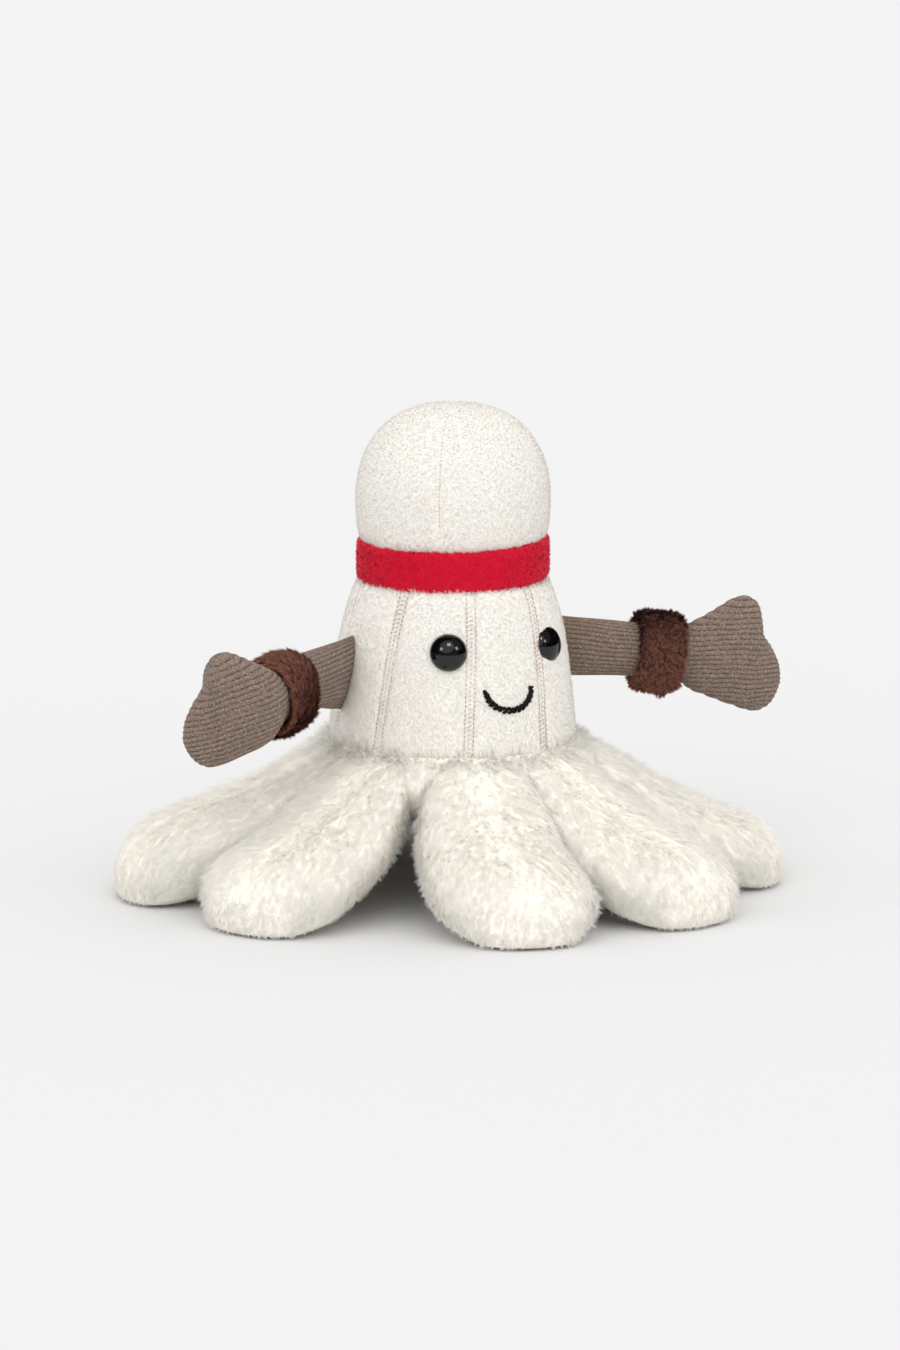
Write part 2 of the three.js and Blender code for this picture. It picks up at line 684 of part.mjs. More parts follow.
function sleeveRing(x, depth) {
  const { height, thickness } = sleeveAt(x);
  const thin = Math.max(0.25, thickness - depth);
  return section(Math.max(0.5, height - depth), thin, (z, y) => new THREE.Vector3(x, y, z));
}

function sleeve() {
  const start = [new THREE.Vector3(RAISE_REACH - ARM_END_RADIUS, 0, 0)];
  const outside = SLEEVE_STATIONS.map((x) => sleeveRing(x, 0));
  const inside = SLEEVE_STATIONS.slice(3).map((x) => sleeveRing(x, CORD_WALL));
  const innerStart = [new THREE.Vector3(SLEEVE_STATIONS[3] - 0.8, 0, 0)];
  return loft([start, ...outside, ...inside.reverse(), innerStart]);
}

function sleeveFilling() {
  const depth = CORD_WALL + SEAT_GAP;
  const rings = SLEEVE_STATIONS.slice(4).map((x) => sleeveRing(x, depth));
  const start = [new THREE.Vector3(SLEEVE_STATIONS[4] - 0.8, 0, 0)];
  return loft([start, ...rings, [new THREE.Vector3(SLEEVE_LENGTH, 0, 0)]]);
}

// Fur cuff: a rounded hoop round the sleeve.
function cuff() {
  const half = CUFF_LENGTH / 2;
  const inner = SEAT_GAP;
  const outer = SEAT_GAP + CUFF_THICKNESS;
  const hoop = [
    [-half, inner],
    [-half, outer - 1.2],
    [-0.7 * half, outer],
    [0.7 * half, outer],
    [half, outer - 1.2],
    [half, inner],
  ];
  const widest = sleeveAt(cuffMiddle - half);
  return loft(
    hoop.map(([along, out]) =>
      section(widest.height + out, SLEEVE_THICKNESS / 2 + out, (z, y) => new THREE.Vector3(cuffMiddle + along, y, z)),
    ),
    true,
  );
}

// The hand's outline: its top and bottom edges, and half its thickness, at a distance from its back.
const HAND_TOP = [
  [0.7, 5],
  [2.4, 8.4],
  [5, 10.6],
  [8.5, 13],
  [12, 14.6],
  [15.5, 14.8],
  [17.6, 13.2],
  [18.8, 8.6],
  [20.6, 3.9],
  [22.6, -1.4],
  [23.6, -5],
];
const HAND_BOTTOM = [
  [0.7, -5],
  [2.4, -8.3],
  [5, -9.8],
  [8.5, -11.4],
  [12, -12.8],
  [15.5, -13.5],
  [18.8, -13],
  [20.6, -12.1],
  [22.6, -10],
  [23.6, -7.4],
];
const HAND_HALF = [
  [0.7, 0.37],
  [2.4, 0.68],
  [5, 0.88],
  [8.5, 0.98],
  [12, 1],
  [15.5, 0.98],
  [18.8, 0.84],
  [20.6, 0.7],
  [22.6, 0.42],
  [23.6, 0.12],
];
const HAND_STATIONS = [0.7, 2.4, 5, 8.5, 12, 15.5, 17.6, 18.8, 20.6, 22.6];
const HAND_DRAWN = 23.6; // the length that the outline is drawn at

function handRing(station, depth) {
  const top = smooth(HAND_TOP, station) - depth;
  const bottom = smooth(HAND_BOTTOM, station) + depth;
  const half = (smooth(HAND_HALF, station) * HAND_THICKNESS) / 2 - depth;
  const x = (station * HAND_LENGTH) / HAND_DRAWN;
  return section((top - bottom) / 2, Math.max(0.4, half), (z, y) => {
    return new THREE.Vector3(x - WRIST_REACH, y, z + (top + bottom) / 2);
  });
}

function handTip(depth) {
  return [new THREE.Vector3(HAND_LENGTH - depth - WRIST_REACH, 0, -6.2)];
}

function hand() {
  const outside = HAND_STATIONS.map((x) => handRing(x, 0));
  const inside = HAND_STATIONS.map((x) => handRing(x, CORD_WALL));
  return loft([handTip(0), ...outside.reverse(), ...inside.slice(0, -1), handTip(2 * CORD_WALL)]);
}

function handFilling() {
  const depth = CORD_WALL + SEAT_GAP;
  const rings = HAND_STATIONS.slice(0, -1).map((x) => handRing(x, depth));
  const back = [new THREE.Vector3(-WRIST_REACH, 0, 0)];
  return loft([back, ...rings, handTip(3 * depth)]);
}

for (const [name, pose] of Object.entries(ARM_POSES)) {
  const degrees = (value) => THREE.MathUtils.degToRad(value);
  const azimuth = pose.side * ARM_AZIMUTH;
  const slope = (skirtRadius(ARM_HEIGHT - 8) - skirtRadius(ARM_HEIGHT + 8)) / 16;
  const seam = new THREE.Group();
  seam.name = `shoulder_${name}`;
  seam.position.copy(around(azimuth, skirtRadius(ARM_HEIGHT) + SEAT_GAP + TAB_THICKNESS / 2, ARM_HEIGHT));
  seam.rotation.order = "ZYX";
  seam.rotation.z = degrees(azimuth - 90);
  seam.rotation.y = -Math.atan(slope);
  const swing = new THREE.Group();
  swing.rotation.z = degrees(-pose.side * pose.swing);
  const raise = new THREE.Group();
  raise.name = `raise_${name}`;
  raise.position.x = RAISE_REACH;
  raise.rotation.y = degrees(pose.droop);
  const wrist = new THREE.Group();
  wrist.name = `wrist_${name}`;
  wrist.position.x = SLEEVE_LENGTH + SEAT_GAP + WRIST_REACH - RAISE_REACH;
  const palm = new THREE.Group();
  palm.rotation.order = "ZYX";
  palm.rotation.z = degrees(pose.side * pose.bend);
  palm.rotation.y = degrees(pose.tip);
  toy.add(seam);
  seam.add(swing);
  swing.add(raise);
  raise.add(wrist);
  wrist.add(palm);
  add(swing, `arm_tab_${name}`, tabGeometry(), CORDUROY);
  const upper = new THREE.Group();
  upper.position.x = -RAISE_REACH;
  raise.add(upper);
  add(upper, `sleeve_${name}`, sleeve(), CORDUROY);
  add(upper, `sleeve_filling_${name}`, sleeveFilling(), FILLING);
  add(upper, `cuff_${name}`, cuff(), CUFF_FUR);
  add(palm, `hand_${name}`, hand(), CORDUROY);
  add(palm, `hand_filling_${name}`, handFilling(), FILLING);
}

export default toy;
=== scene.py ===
# %% [markdown]
# # A plush shuttlecock, dressed over its CAD frame
# The toy is a shuttlecock sewn from soft cloth. A domed cork sits on a nine-panelled skirt, nine furry
# feather legs spread on the table, and two corduroy arms end in mitten hands.
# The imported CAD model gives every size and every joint, so it is loaded first and never changed.
# Each step below makes one real piece of the toy over the solids that it stands for.

# %% The frame and its box
import json
import math
import random

import bmesh
import bpy
import numpy as np
from mathutils import Matrix, Vector, noise

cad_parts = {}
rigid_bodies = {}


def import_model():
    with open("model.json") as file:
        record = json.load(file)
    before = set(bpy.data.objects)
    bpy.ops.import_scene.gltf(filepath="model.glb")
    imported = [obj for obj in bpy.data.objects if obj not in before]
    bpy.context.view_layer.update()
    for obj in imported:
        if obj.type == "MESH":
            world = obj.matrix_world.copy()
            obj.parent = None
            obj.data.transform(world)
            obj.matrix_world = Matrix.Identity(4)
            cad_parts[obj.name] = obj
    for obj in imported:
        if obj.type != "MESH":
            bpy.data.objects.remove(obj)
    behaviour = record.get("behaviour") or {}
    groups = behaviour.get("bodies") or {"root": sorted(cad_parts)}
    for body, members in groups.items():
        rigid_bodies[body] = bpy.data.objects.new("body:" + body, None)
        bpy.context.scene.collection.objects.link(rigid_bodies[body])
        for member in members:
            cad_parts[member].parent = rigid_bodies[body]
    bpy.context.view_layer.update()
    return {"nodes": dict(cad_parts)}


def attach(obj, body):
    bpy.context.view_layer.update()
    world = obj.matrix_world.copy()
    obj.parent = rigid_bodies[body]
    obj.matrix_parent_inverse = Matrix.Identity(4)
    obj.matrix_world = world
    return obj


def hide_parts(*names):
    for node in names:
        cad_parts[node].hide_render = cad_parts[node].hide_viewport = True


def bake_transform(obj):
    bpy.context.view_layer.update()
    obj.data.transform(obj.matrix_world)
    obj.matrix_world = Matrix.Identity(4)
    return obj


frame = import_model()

MM = 0.001  # lengths below are in millimetres, as in the CAD source, and Blender works in metres

# %% [markdown]
# ## The camera
# The photograph is taken with a long lens from a little above the table, with the toy turned so that
# its face looks past the right of the camera. A long lens hardly enlarges what is near, which is why
# the front leg looks no bigger than the ones beside it.

# %% Camera at the photograph's angle
VIEW_TURN = math.radians(28)
VIEW_RISE = math.radians(9.8)
VIEW_DISTANCE = 1248
AIM_HEIGHT = 51.4
LENS = 135
AIM_ASIDE = -0.74  # the toy stands a little right of the picture's middle

sight = Vector(
    (
        -math.cos(VIEW_RISE) * math.sin(VIEW_TURN),
        -math.cos(VIEW_RISE) * math.cos(VIEW_TURN),
        math.sin(VIEW_RISE),
    )
)
picture_right = Vector((math.cos(VIEW_TURN), -math.sin(VIEW_TURN), 0))
aim = Vector((0, 0, AIM_HEIGHT)) + picture_right * AIM_ASIDE

camera = bpy.data.objects.new("camera", bpy.data.cameras.new("camera"))
camera.data.lens = LENS
camera.data.clip_end = 50
camera.location = (aim + sight * VIEW_DISTANCE) * MM
camera.rotation_mode = "QUATERNION"
camera.rotation_quaternion = (-sight).to_track_quat("-Z", "Y")
bpy.context.scene.collection.objects.link(camera)
bpy.context.scene.camera = camera
print("camera", [round(side, 3) for side in camera.location])

# %% [markdown]
# ## Node boards
# Finishes and piles are node trees. A socket is wrapped in a small class, so that maths on it reads
# as a plain sum, and every other node comes from one method. Colours and vectors have their own nodes,
# because a Math node keeps only one number.


# %% Wires that can be added and multiplied
class Wire:
    """An output of a node, on which sums may be done."""

    def __init__(self, board, socket):
        self.board = board
        self.socket = socket

    def out(self, name):
        return Wire(self.board, self.socket.node.outputs[name])

    def math(self, operation, first, second=0.0):
        return self.board.node("ShaderNodeMath", {"operation": operation}, {0: first, 1: second})

    def __add__(self, other):
        return self.math("ADD", self, other)

    __radd__ = __add__

    def __sub__(self, other):
        return self.math("SUBTRACT", self, other)

    def __rsub__(self, other):
        return self.math("SUBTRACT", other, self)

    def __mul__(self, other):
        return self.math("MULTIPLY", self, other)

    __rmul__ = __mul__

    def __pow__(self, other):
        return self.math("POWER", self, other)

    def over(self, limit):
        return self.math("GREATER_THAN", self, limit)


class Board:
    """A node tree that is filled by type, settings and socket values."""

    def __init__(self, tree):
        self.tree = tree
        tree.nodes.clear()

    def node(self, kind, settings=None, sockets=None, out=0):
        node = self.tree.nodes.new(kind)
        for name, value in (settings or {}).items():
            if name == "stops":
                self.set_stops(node.color_ramp, value)
            else:
                setattr(node, name, value)
        for name, value in (sockets or {}).items():
            if isinstance(value, Wire):
                self.tree.links.new(value.socket, node.inputs[name])
            else:
                node.inputs[name].default_value = value
        return Wire(self, node.outputs[out]) if node.outputs else node

    def set_stops(self, ramp, stops):
        while len(ramp.elements) < len(stops):
            ramp.elements.new(1)
        for element, (position, colour) in zip(ramp.elements, stops):
            element.position = position
            element.color = (*colour, 1)

    def place(self):
        """Where a point of the surface is, in metres."""
        return self.node("ShaderNodeTexCoord", out="Object")

    def grain(self, size, detail=2.0, where=None, out="Fac"):
        """Noise whose lumps are about size millimetres across."""
        sockets = {"Vector": where or self.place(), "Scale": 1 / (size * MM), "Detail": detail}
        return self.node("ShaderNodeTexNoise", None, sockets, out)

    def attribute(self, name, out="Fac"):
        return self.node("ShaderNodeAttribute", {"attribute_name": name}, None, out)

    def ramp(self, value, stops):
        return self.node("ShaderNodeValToRGB", {"stops": stops}, {"Fac": value})

    def spread(self, value, low, high):
        """0 where the value is under low, 1 where it is over high."""
        return self.ramp(value, [(low, (0, 0, 0)), (high, (1, 1, 1))])

    def mix(self, share, first, second):
        """A colour between two others."""
        colours = [c if isinstance(c, Wire) else (*c, 1) for c in (first, second)]
        sockets = {0: share, 6: colours[0], 7: colours[1]}
        settings = {"data_type": "RGBA", "clamp_factor": True}
        return self.node("ShaderNodeMix", settings, sockets, 2)

    def bump(self, height, depth):
        """Relief of depth millimetres from a height between 0 and 1."""
        return self.node("ShaderNodeBump", None, {"Height": height, "Distance": depth * MM}, "Normal")


# %% A finish is a named material with one shader
def finish(name, draw, fixed=None, through=None):
    """A material. draw(board) gives the values that change over the surface, and fixed the rest.

    Hair lets light through, so a pile may give the share of light and the colour that pass.
    """
    material = bpy.data.materials.new(name)
    material.use_nodes = True
    board = Board(material.node_tree)
    shader = board.node("ShaderNodeBsdfPrincipled", None, {**(fixed or {}), **draw(board)})
    if through:
        share, colour = through
        passed = board.node("ShaderNodeBsdfTranslucent", None, {"Color": (*colour, 1)})
        shader = board.node("ShaderNodeMixShader", None, {0: share, 1: shader, 2: passed})
    board.node("ShaderNodeOutputMaterial", None, {"Surface": shader})
    return material


def srgb(red, green, blue):
    """A colour as the photograph's 0 to 255 numbers, turned into light."""
    parts = [part / 255 for part in (red, green, blue)]
    return tuple(part / 12.92 if part <= 0.04045 else ((part + 0.055) / 1.055) ** 2.4 for part in parts)


# %% [markdown]
# ## Floor and studio light
# The toy stands on a plain pale floor that runs out of the picture on every side. Soft light from the
# whole sky shades the folds, and three wide suns give the round forms a side: one in front, a low one
# that reaches under the skirt, and a weak one at the right. Three soft lamps show only in glossy things,
# as the windows that shine in the eyes.

# %% Floor
PALE = srgb(223, 223, 223)


def draw_floor(board):
    cloudy = board.grain(400)
    return {"Base Color": board.mix(cloudy, PALE, srgb(224, 224, 224))}


FLOOR_RADIUS = 9000
bm = bmesh.new()
bmesh.ops.create_circle(bm, cap_ends=True, segments=96, radius=FLOOR_RADIUS * MM)
floor_mesh = bpy.data.meshes.new("floor")
bm.to_mesh(floor_mesh)
bm.free()
floor_mesh.materials.append(finish("pale_floor", draw_floor, {"Roughness": 1.0, "Specular IOR Level": 0.0}))
floor = bpy.data.objects.new("floor", floor_mesh)
bpy.context.scene.collection.objects.link(floor)
print("floor", FLOOR_RADIUS, "mm in radius")

# %% Sky, suns and the lamps in the eyes
SKY = srgb(244, 244, 244)
SKY_STRENGTH = 1.13
world = bpy.data.worlds.new("studio")
world.use_nodes = True
sky_board = Board(world.node_tree)
sky_light = sky_board.node("ShaderNodeBackground", None, {"Color": (*SKY, 1), "Strength": SKY_STRENGTH})
sky_board.node("ShaderNodeOutputWorld", None, {"Surface": sky_light})
world.cycles_visibility.glossy = False
bpy.context.scene.world = world
bpy.context.scene.view_settings.view_transform = "Standard"


def lamp(name, kind, strength, azimuth, rise, spread):
    """A light that shines on the toy from an azimuth and a height in degrees."""
    light = bpy.data.lights.new(name, kind)
    light.energy = strength
    found = bpy.data.objects.new(name, light)
    turn = math.radians(azimuth)
    up = math.radians(rise)
    way = Vector((math.sin(turn) * math.cos(up), -math.cos(turn) * math.cos(up), math.sin(up)))
    if kind == "SUN":
        light.angle = math.radians(spread)
    else:
        light.size = spread
    found.location = way * 1.5 + Vector((0, 0, 60 * MM))
    found.rotation_mode = "QUATERNION"
    found.rotation_quaternion = way.to_track_quat("Z", "Y")
    bpy.context.scene.collection.objects.link(found)
    return found


SUNS = {"front": (0.62, -36, 40, 60), "low": (0.3, -30, 6, 90), "right": (0.2, 25, 45, 60)}
WINDOWS = ((-24, 46, 0.36), (-60, 25, 0.29), (13, 27, 0.29))  # azimuth, height in degrees, size in metres
WINDOW_POWER = 24
for name, sun in SUNS.items():
    lamp(f"sun_{name}", "SUN", *sun)
for number, (azimuth, rise, size) in enumerate(WINDOWS):
    window = lamp(f"window_{number + 1}", "AREA", WINDOW_POWER * size**2, azimuth, rise, size)
    window.visible_diffuse = False

# %% [markdown]
# ## Skins and spins
# Two ways of modelling make nearly every piece. A spin turns an outline round the toy's axis, for the
# skirt, the cork, the band and the eyes. A wrap takes a flat grid, puts each of its points somewhere
# round the piece and sews its edges together, for the stuffed limbs.


# %% Lines through a few sizes
def smooth(pairs, x):
    """The value at x of a smooth line through (x, value) pairs."""
    xs, ys = np.array(pairs, float).T
    x = np.clip(x, xs[0], xs[-1])
    slope = np.empty(len(xs))
    slope[1:-1] = (ys[2:] - ys[:-2]) / (xs[2:] - xs[:-2])
    slope[0] = (ys[1] - ys[0]) / (xs[1] - xs[0])
    slope[-1] = (ys[-1] - ys[-2]) / (xs[-1] - xs[-2])
    i = np.clip(np.searchsorted(xs, x, side="right") - 1, 0, len(xs) - 2)
    run = xs[i + 1] - xs[i]
    rise = ys[i + 1] - ys[i]
    t = (x - xs[i]) / run
    start, end = slope[i] * run, slope[i + 1] * run
    return ys[i] + start * t + (3 * rise - 2 * start - end) * t**2 + (start + end - 2 * rise) * t**3


def bell(distance, width):
    """1 at no distance, falling smoothly to nothing a few widths away."""
    return np.exp(-((distance / width) ** 2))


def step(value, low, high):
    """0 below low, 1 above high, smooth in between."""
    t = np.clip((value - low) / (high - low), 0, 1)
    return t * t * (3 - 2 * t)


def lumps(points, size, seed=0):
    """Gentle noise from -1 to 1 at points in millimetres, with lumps of that size."""
    shift = Vector((seed * 7.3, seed * 3.1, seed * 5.7))
    return np.array([noise.noise(Vector(point) / size + shift) for point in points])


def around(azimuth, radius, height):
    """Points at azimuths in degrees (0 is the front, 90 the toy's left), radii and heights."""
    turn = np.radians(azimuth)
    return np.stack(np.broadcast_arrays(radius * np.sin(turn), -radius * np.cos(turn), height), -1)


# %% From a bmesh to a piece
def in_order(bm):
    """Sorts points, edges and faces by place: a spin leaves them in another order at each run, and the
    hairs are planted in the order of the faces.
    """

    def ranked(parts, key):
        parts.index_update()
        keys = [key(part) for part in parts]
        order = sorted(range(len(keys)), key=keys.__getitem__)
        rank = {index: place for place, index in enumerate(order)}
        parts.sort(key=lambda part: rank[part.index])
        parts.index_update()

    ranked(bm.verts, lambda vertex: tuple(round(side / MM, 3) for side in vertex.co))
    for parts in (bm.edges, bm.faces):
        ranked(parts, lambda part: sorted(vertex.index for vertex in part.verts))


def object_of(name, bm, material):
    """A finished piece from a bmesh, at the origin, with smooth faces."""
    bmesh.ops.recalc_face_normals(bm, faces=bm.faces)
    for face in bm.faces:
        face.smooth = True
    mesh = bpy.data.meshes.new(name)
    bm.to_mesh(mesh)
    bm.free()
    mesh.materials.append(material)
    piece = bpy.data.objects.new(name, mesh)
    bpy.context.scene.collection.objects.link(piece)
    return piece


def points_of(mesh):
    """A mesh's points, in millimetres."""
    found = np.empty(len(mesh.vertices) * 3, np.float32)
    mesh.vertices.foreach_get("co", found)
    return found.reshape(-1, 3).astype(float) / MM


def normals_of(mesh):
    found = np.empty(len(mesh.vertices) * 3, np.float32)
    mesh.vertex_normals.foreach_get("vector", found)
    return found.reshape(-1, 3).astype(float)


def move_to(mesh, points):
    mesh.vertices.foreach_set("co", (points * MM).astype(np.float32).ravel())
    mesh.update()


def note(mesh, name, values):
    """Keeps a number or a vector at each point of a mesh, for the pile and the finish to read."""
    values = np.asarray(values, np.float32)
    kind, field = ("FLOAT", "value") if values.ndim == 1 else ("FLOAT_VECTOR", "vector")
    mesh.attributes.new(name, kind, "POINT").data.foreach_set(field, values.ravel())


def told(piece):
    """Prints what was made."""
    triangles = sum(len(face.vertices) - 2 for face in piece.data.polygons)
    points = points_of(piece.data)
    print(f"{piece.name}: {triangles} triangles, {points.min(0).round(1)} to {points.max(0).round(1)} mm")
    return piece


# %% Spins and wraps
def spun(name, outline, columns, material, closed=False):
    """An outline of (radius, height) pairs, turned round the toy's axis."""
    bm = bmesh.new()
    corners = [bm.verts.new((radius * MM, 0, height * MM)) for radius, height in outline]
    pairs = list(zip(corners, corners[1:]))
    if closed:
        pairs.append((corners[-1], corners[0]))
    edges = [bm.edges.new(pair) for pair in pairs]
    bmesh.ops.spin(
        bm,
        geom=corners + edges,
        axis=(0, 0, 1),
        cent=(0, 0, 0),
        angle=2 * math.pi,
        steps=columns,
        use_merge=True,
    )
    bmesh.ops.remove_doubles(bm, verts=bm.verts, dist=0.001 * MM)
    in_order(bm)
    return object_of(name, bm, material)


def wrapped(name, columns, rows, place, material):
    """A closed skin. place(across, along) says where each point of a flat grid goes."""
    bm = bmesh.new()
    bmesh.ops.create_grid(bm, x_segments=columns, y_segments=rows, size=0.5)
    shares = np.array([vertex.co[:2] for vertex in bm.verts]) + 0.5
    for vertex, point in zip(bm.verts, place(shares[:, 0], shares[:, 1])):
        vertex.co = point * MM
    bmesh.ops.remove_doubles(bm, verts=bm.verts, dist=0.001 * MM)
    return object_of(name, bm, material)


def rounded(turn, fullness=2.3):
    """The two coordinates of a rounded section at a turn from 0 to 1: 2 is an ellipse, more is squarer."""
    a = 2 * np.pi * turn
    power = 2 / fullness
    return [np.sign(value) * np.abs(value) ** power for value in (np.cos(a), np.sin(a))]


# %% [markdown]
# ## Pile
# Plush is a woven back with thousands of short hairs. A few little tufts are modelled from narrow
# triangles, flat side out, and geometry nodes plant them on a skin, turn each one between the skin's
# normal and the direction in which the maker's brush went, and turn the whole into one real mesh. The
# hairs take most of their shading from the skin, and pale ones let part of the light through, because
# real hairs are finer and pass light to each other.


# %% Tufts of a few hairs
TWIST = 0.2  # how far a hair's flat side turns away from straight out


def tufts(name, kinds, hairs, length, width, foot, head, material):
    """A collection of tufts: hairs that start within foot of the origin and end within head of +Z."""
    dice = random.Random(name)
    collection = bpy.data.collections.new(name)
    for kind in range(kinds):
        bm = bmesh.new()
        tip = bm.verts.layers.float.new("tip")
        for _ in range(hairs):
            start = Vector((dice.gauss(0, foot), dice.gauss(0, foot / 2), 0))
            end = Vector((dice.gauss(0, head), dice.gauss(0, head), length * dice.uniform(0.75, 1.1)))
            way = (end - start).normalized()
            flat = way.cross(Vector((dice.gauss(0, TWIST), 1, 0))).normalized()
            turn = Matrix((flat, way, flat.cross(way))).transposed().to_4x4()
            size = Matrix.Diagonal((width / 1.73 * MM, (end - start).length / 1.5 * MM, MM, 1))
            middle = Matrix.Translation((start * 2 + end) / 3 * MM)
            made = bmesh.ops.create_circle(
                bm, cap_ends=True, segments=3, radius=1, matrix=middle @ turn @ size
            )
            for vertex in made["verts"]:
                vertex[tip] = (vertex.co / MM - end).length < 0.001
        mesh = bpy.data.meshes.new(f"{name}_{kind}")
        bm.to_mesh(mesh)
        bm.free()
        mesh.materials.append(material)
        collection.objects.link(bpy.data.objects.new(f"{name}_{kind}", mesh))
    return collection


def plant_nodes(name, collection, per_mm2, lean, swirl, swirl_size, jitter, seed, strays):
    """Geometry nodes that plant a collection's tufts over a skin.

    The skin's notes say how thick (grow), how long (tall), which way (comb) and how upright (stand) the
    pile is. strays is how much more a few tufts stand up.
    """
    tree = bpy.data.node_groups.new(name, "GeometryNodeTree")
    tree.interface.new_socket("Geometry", in_out="INPUT", socket_type="NodeSocketGeometry")
    tree.interface.new_socket("Geometry", in_out="OUTPUT", socket_type="NodeSocketGeometry")
    board = Board(tree)

    def noted(kind, attribute):
        return board.node("GeometryNodeInputNamedAttribute", {"data_type": kind}, {"Name": attribute})

    def vector(operation, first, second):
        return board.node("ShaderNodeVectorMath", {"operation": operation}, {0: first, 1: second})

    def dice(kind, low, high, shift):
        sockets = {"Seed": seed + shift}
        first = {"FLOAT": 2, "FLOAT_VECTOR": 0}[kind]
        sockets.update({first: low, first + 1: high})
        out = {"FLOAT": 1, "FLOAT_VECTOR": 0}[kind]
        return board.node("FunctionNodeRandomValue", {"data_type": kind}, sockets, out)

    def kept(kind, geometry, attribute, value):
        settings = {"data_type": kind, "domain": "POINT"}
        sockets = {"Geometry": geometry, "Name": attribute, "Value": value}
        return board.node("GeometryNodeStoreNamedAttribute", settings, sockets)

    density = noted("FLOAT", "grow") * (per_mm2 / MM**2 * 1)
    planted = board.node(
        "GeometryNodeDistributePointsOnFaces",
        None,
        {"Mesh": board.node("NodeGroupInput"), "Density": density, "Seed": seed},
    )
    normal = planted.out("Normal")
    patch = board.node("ShaderNodeTexNoise", None, {"Scale": 1 / (swirl_size * MM), "Detail": 1.0}, "Color")
    drift = vector("MULTIPLY", vector("SUBTRACT", patch, (0.5, 0.5, 0.5)), (2 * swirl,) * 3)
    wild = dice("FLOAT_VECTOR", (-jitter,) * 3, (jitter,) * 3, 1)
    side = vector("ADD", vector("ADD", noted("FLOAT_VECTOR", "comb"), drift), wild)
    sunk = board.node("ShaderNodeVectorMath", {"operation": "DOT_PRODUCT"}, {0: side, 1: normal}, 1)
    flat = vector("NORMALIZE", vector("SUBTRACT", side, vector("MULTIPLY", normal, sunk)), (0, 0, 0))
    lift = (dice("FLOAT", 0.0, 1.0, 5) ** 3.0 * strays + 0.5) * math.tan(lean)
    raised = noted("FLOAT", "stand") + lift
    way = vector("ADD", flat, vector("MULTIPLY", normal, raised))
    aligned = board.node("FunctionNodeAlignRotationToVector", {"axis": "Z"}, {"Vector": way})
    upright = board.node(
        "FunctionNodeAlignRotationToVector",
        {"axis": "Y", "pivot_axis": "Z"},
        {"Rotation": aligned, "Vector": normal},
    )
    shaded = kept("FLOAT", planted, "shade", dice("FLOAT", 0.0, 1.0, 3))
    faced = kept("FLOAT_VECTOR", shaded, "facing", normal)
    tuft = board.node(
        "GeometryNodeCollectionInfo",
        None,
        {"Collection": collection, "Separate Children": True, "Reset Children": True},
    )
    instances = board.node(
        "GeometryNodeInstanceOnPoints",
        None,
        {
            "Points": faced,
            "Instance": tuft,
            "Pick Instance": True,
            "Rotation": upright,
            "Scale": noted("FLOAT", "tall") * dice("FLOAT", 0.8, 1.2, 4),
        },
    )
    real = board.node("GeometryNodeRealizeInstances", None, {"Geometry": instances})
    board.node("NodeGroupOutput", None, {"Geometry": real})
    return tree


# %% A pile as a mesh of its own
FLOOR_CLEARANCE = 0.15


def pile(name, skin, collection, per_mm2, lean, swirl, swirl_size, jitter, seed, strays=3.0, soften=0.85):
    """The hairs of a skin that has the notes comb, grow, tall and stand, as one mesh."""
    nodes = plant_nodes(
        name, collection, per_mm2, math.radians(lean), swirl, swirl_size, jitter, seed, strays
    )
    modifier = skin.modifiers.new("pile", "NODES")
    modifier.node_group = nodes
    graph = bpy.context.evaluated_depsgraph_get()
    mesh = bpy.data.meshes.new_from_object(skin.evaluated_get(graph), depsgraph=graph)
    skin.modifiers.remove(modifier)
    mesh.name = name
    bpy.data.node_groups.remove(nodes)

    points = points_of(mesh)
    points[:, 2] = np.maximum(points[:, 2], FLOOR_CLEARANCE)
    move_to(mesh, points)
    found = {}
    for attribute, width in (("tip", 1), ("shade", 1), ("facing", 3)):
        found[attribute] = np.empty(len(points) * width, np.float32)
        field = "value" if width == 1 else "vector"
        mesh.attributes[attribute].data.foreach_get(field, found[attribute])
    facing = found["facing"].reshape(-1, 3)
    own = normals_of(mesh)
    own *= np.sign((own * facing).sum(1, keepdims=True) + 1e-9)
    mixed = facing * soften + own * (1 - soften)
    mixed /= np.maximum(np.linalg.norm(mixed, axis=1, keepdims=True), 1e-6)
    mesh.polygons.foreach_set("use_smooth", np.ones(len(mesh.polygons), bool))
    mesh.normals_split_custom_set_from_vertices(mixed.tolist())
    mesh.attributes.remove(mesh.attributes["facing"])

    corner = np.empty(len(mesh.loops), np.int32)
    mesh.loops.foreach_get("vertex_index", corner)
    side = (np.arange(len(points)) % 2) * 0.004
    chart = np.stack((0.02 + 0.95 * found["shade"] + side, 0.02 + 0.96 * found["tip"]), 1)[corner]
    mesh.uv_layers.new(name="OFBake").uv.foreach_set("vector", chart.astype(np.float32).ravel())
    piece = bpy.data.objects.new(name, mesh)
    bpy.context.scene.collection.objects.link(piece)
    return told(piece)


def discard(collection):
    for found in list(collection.objects):
        bpy.data.objects.remove(found)
    bpy.data.collections.remove(collection)


# %% [markdown]
# ## Fleece
# Cork and skirt are cut from one cream fleece, a knit whose face is brushed to a very short nap. From
# a step away it reads as a soft mottled surface with a few stray specks. The cloth is a mesh, the nap
# is a pile half a millimetre high, and both share the same warm white.

# %% Fleece finishes
FLEECE = srgb(237, 234, 229)
FLEECE_DEEP = srgb(230, 226, 218)


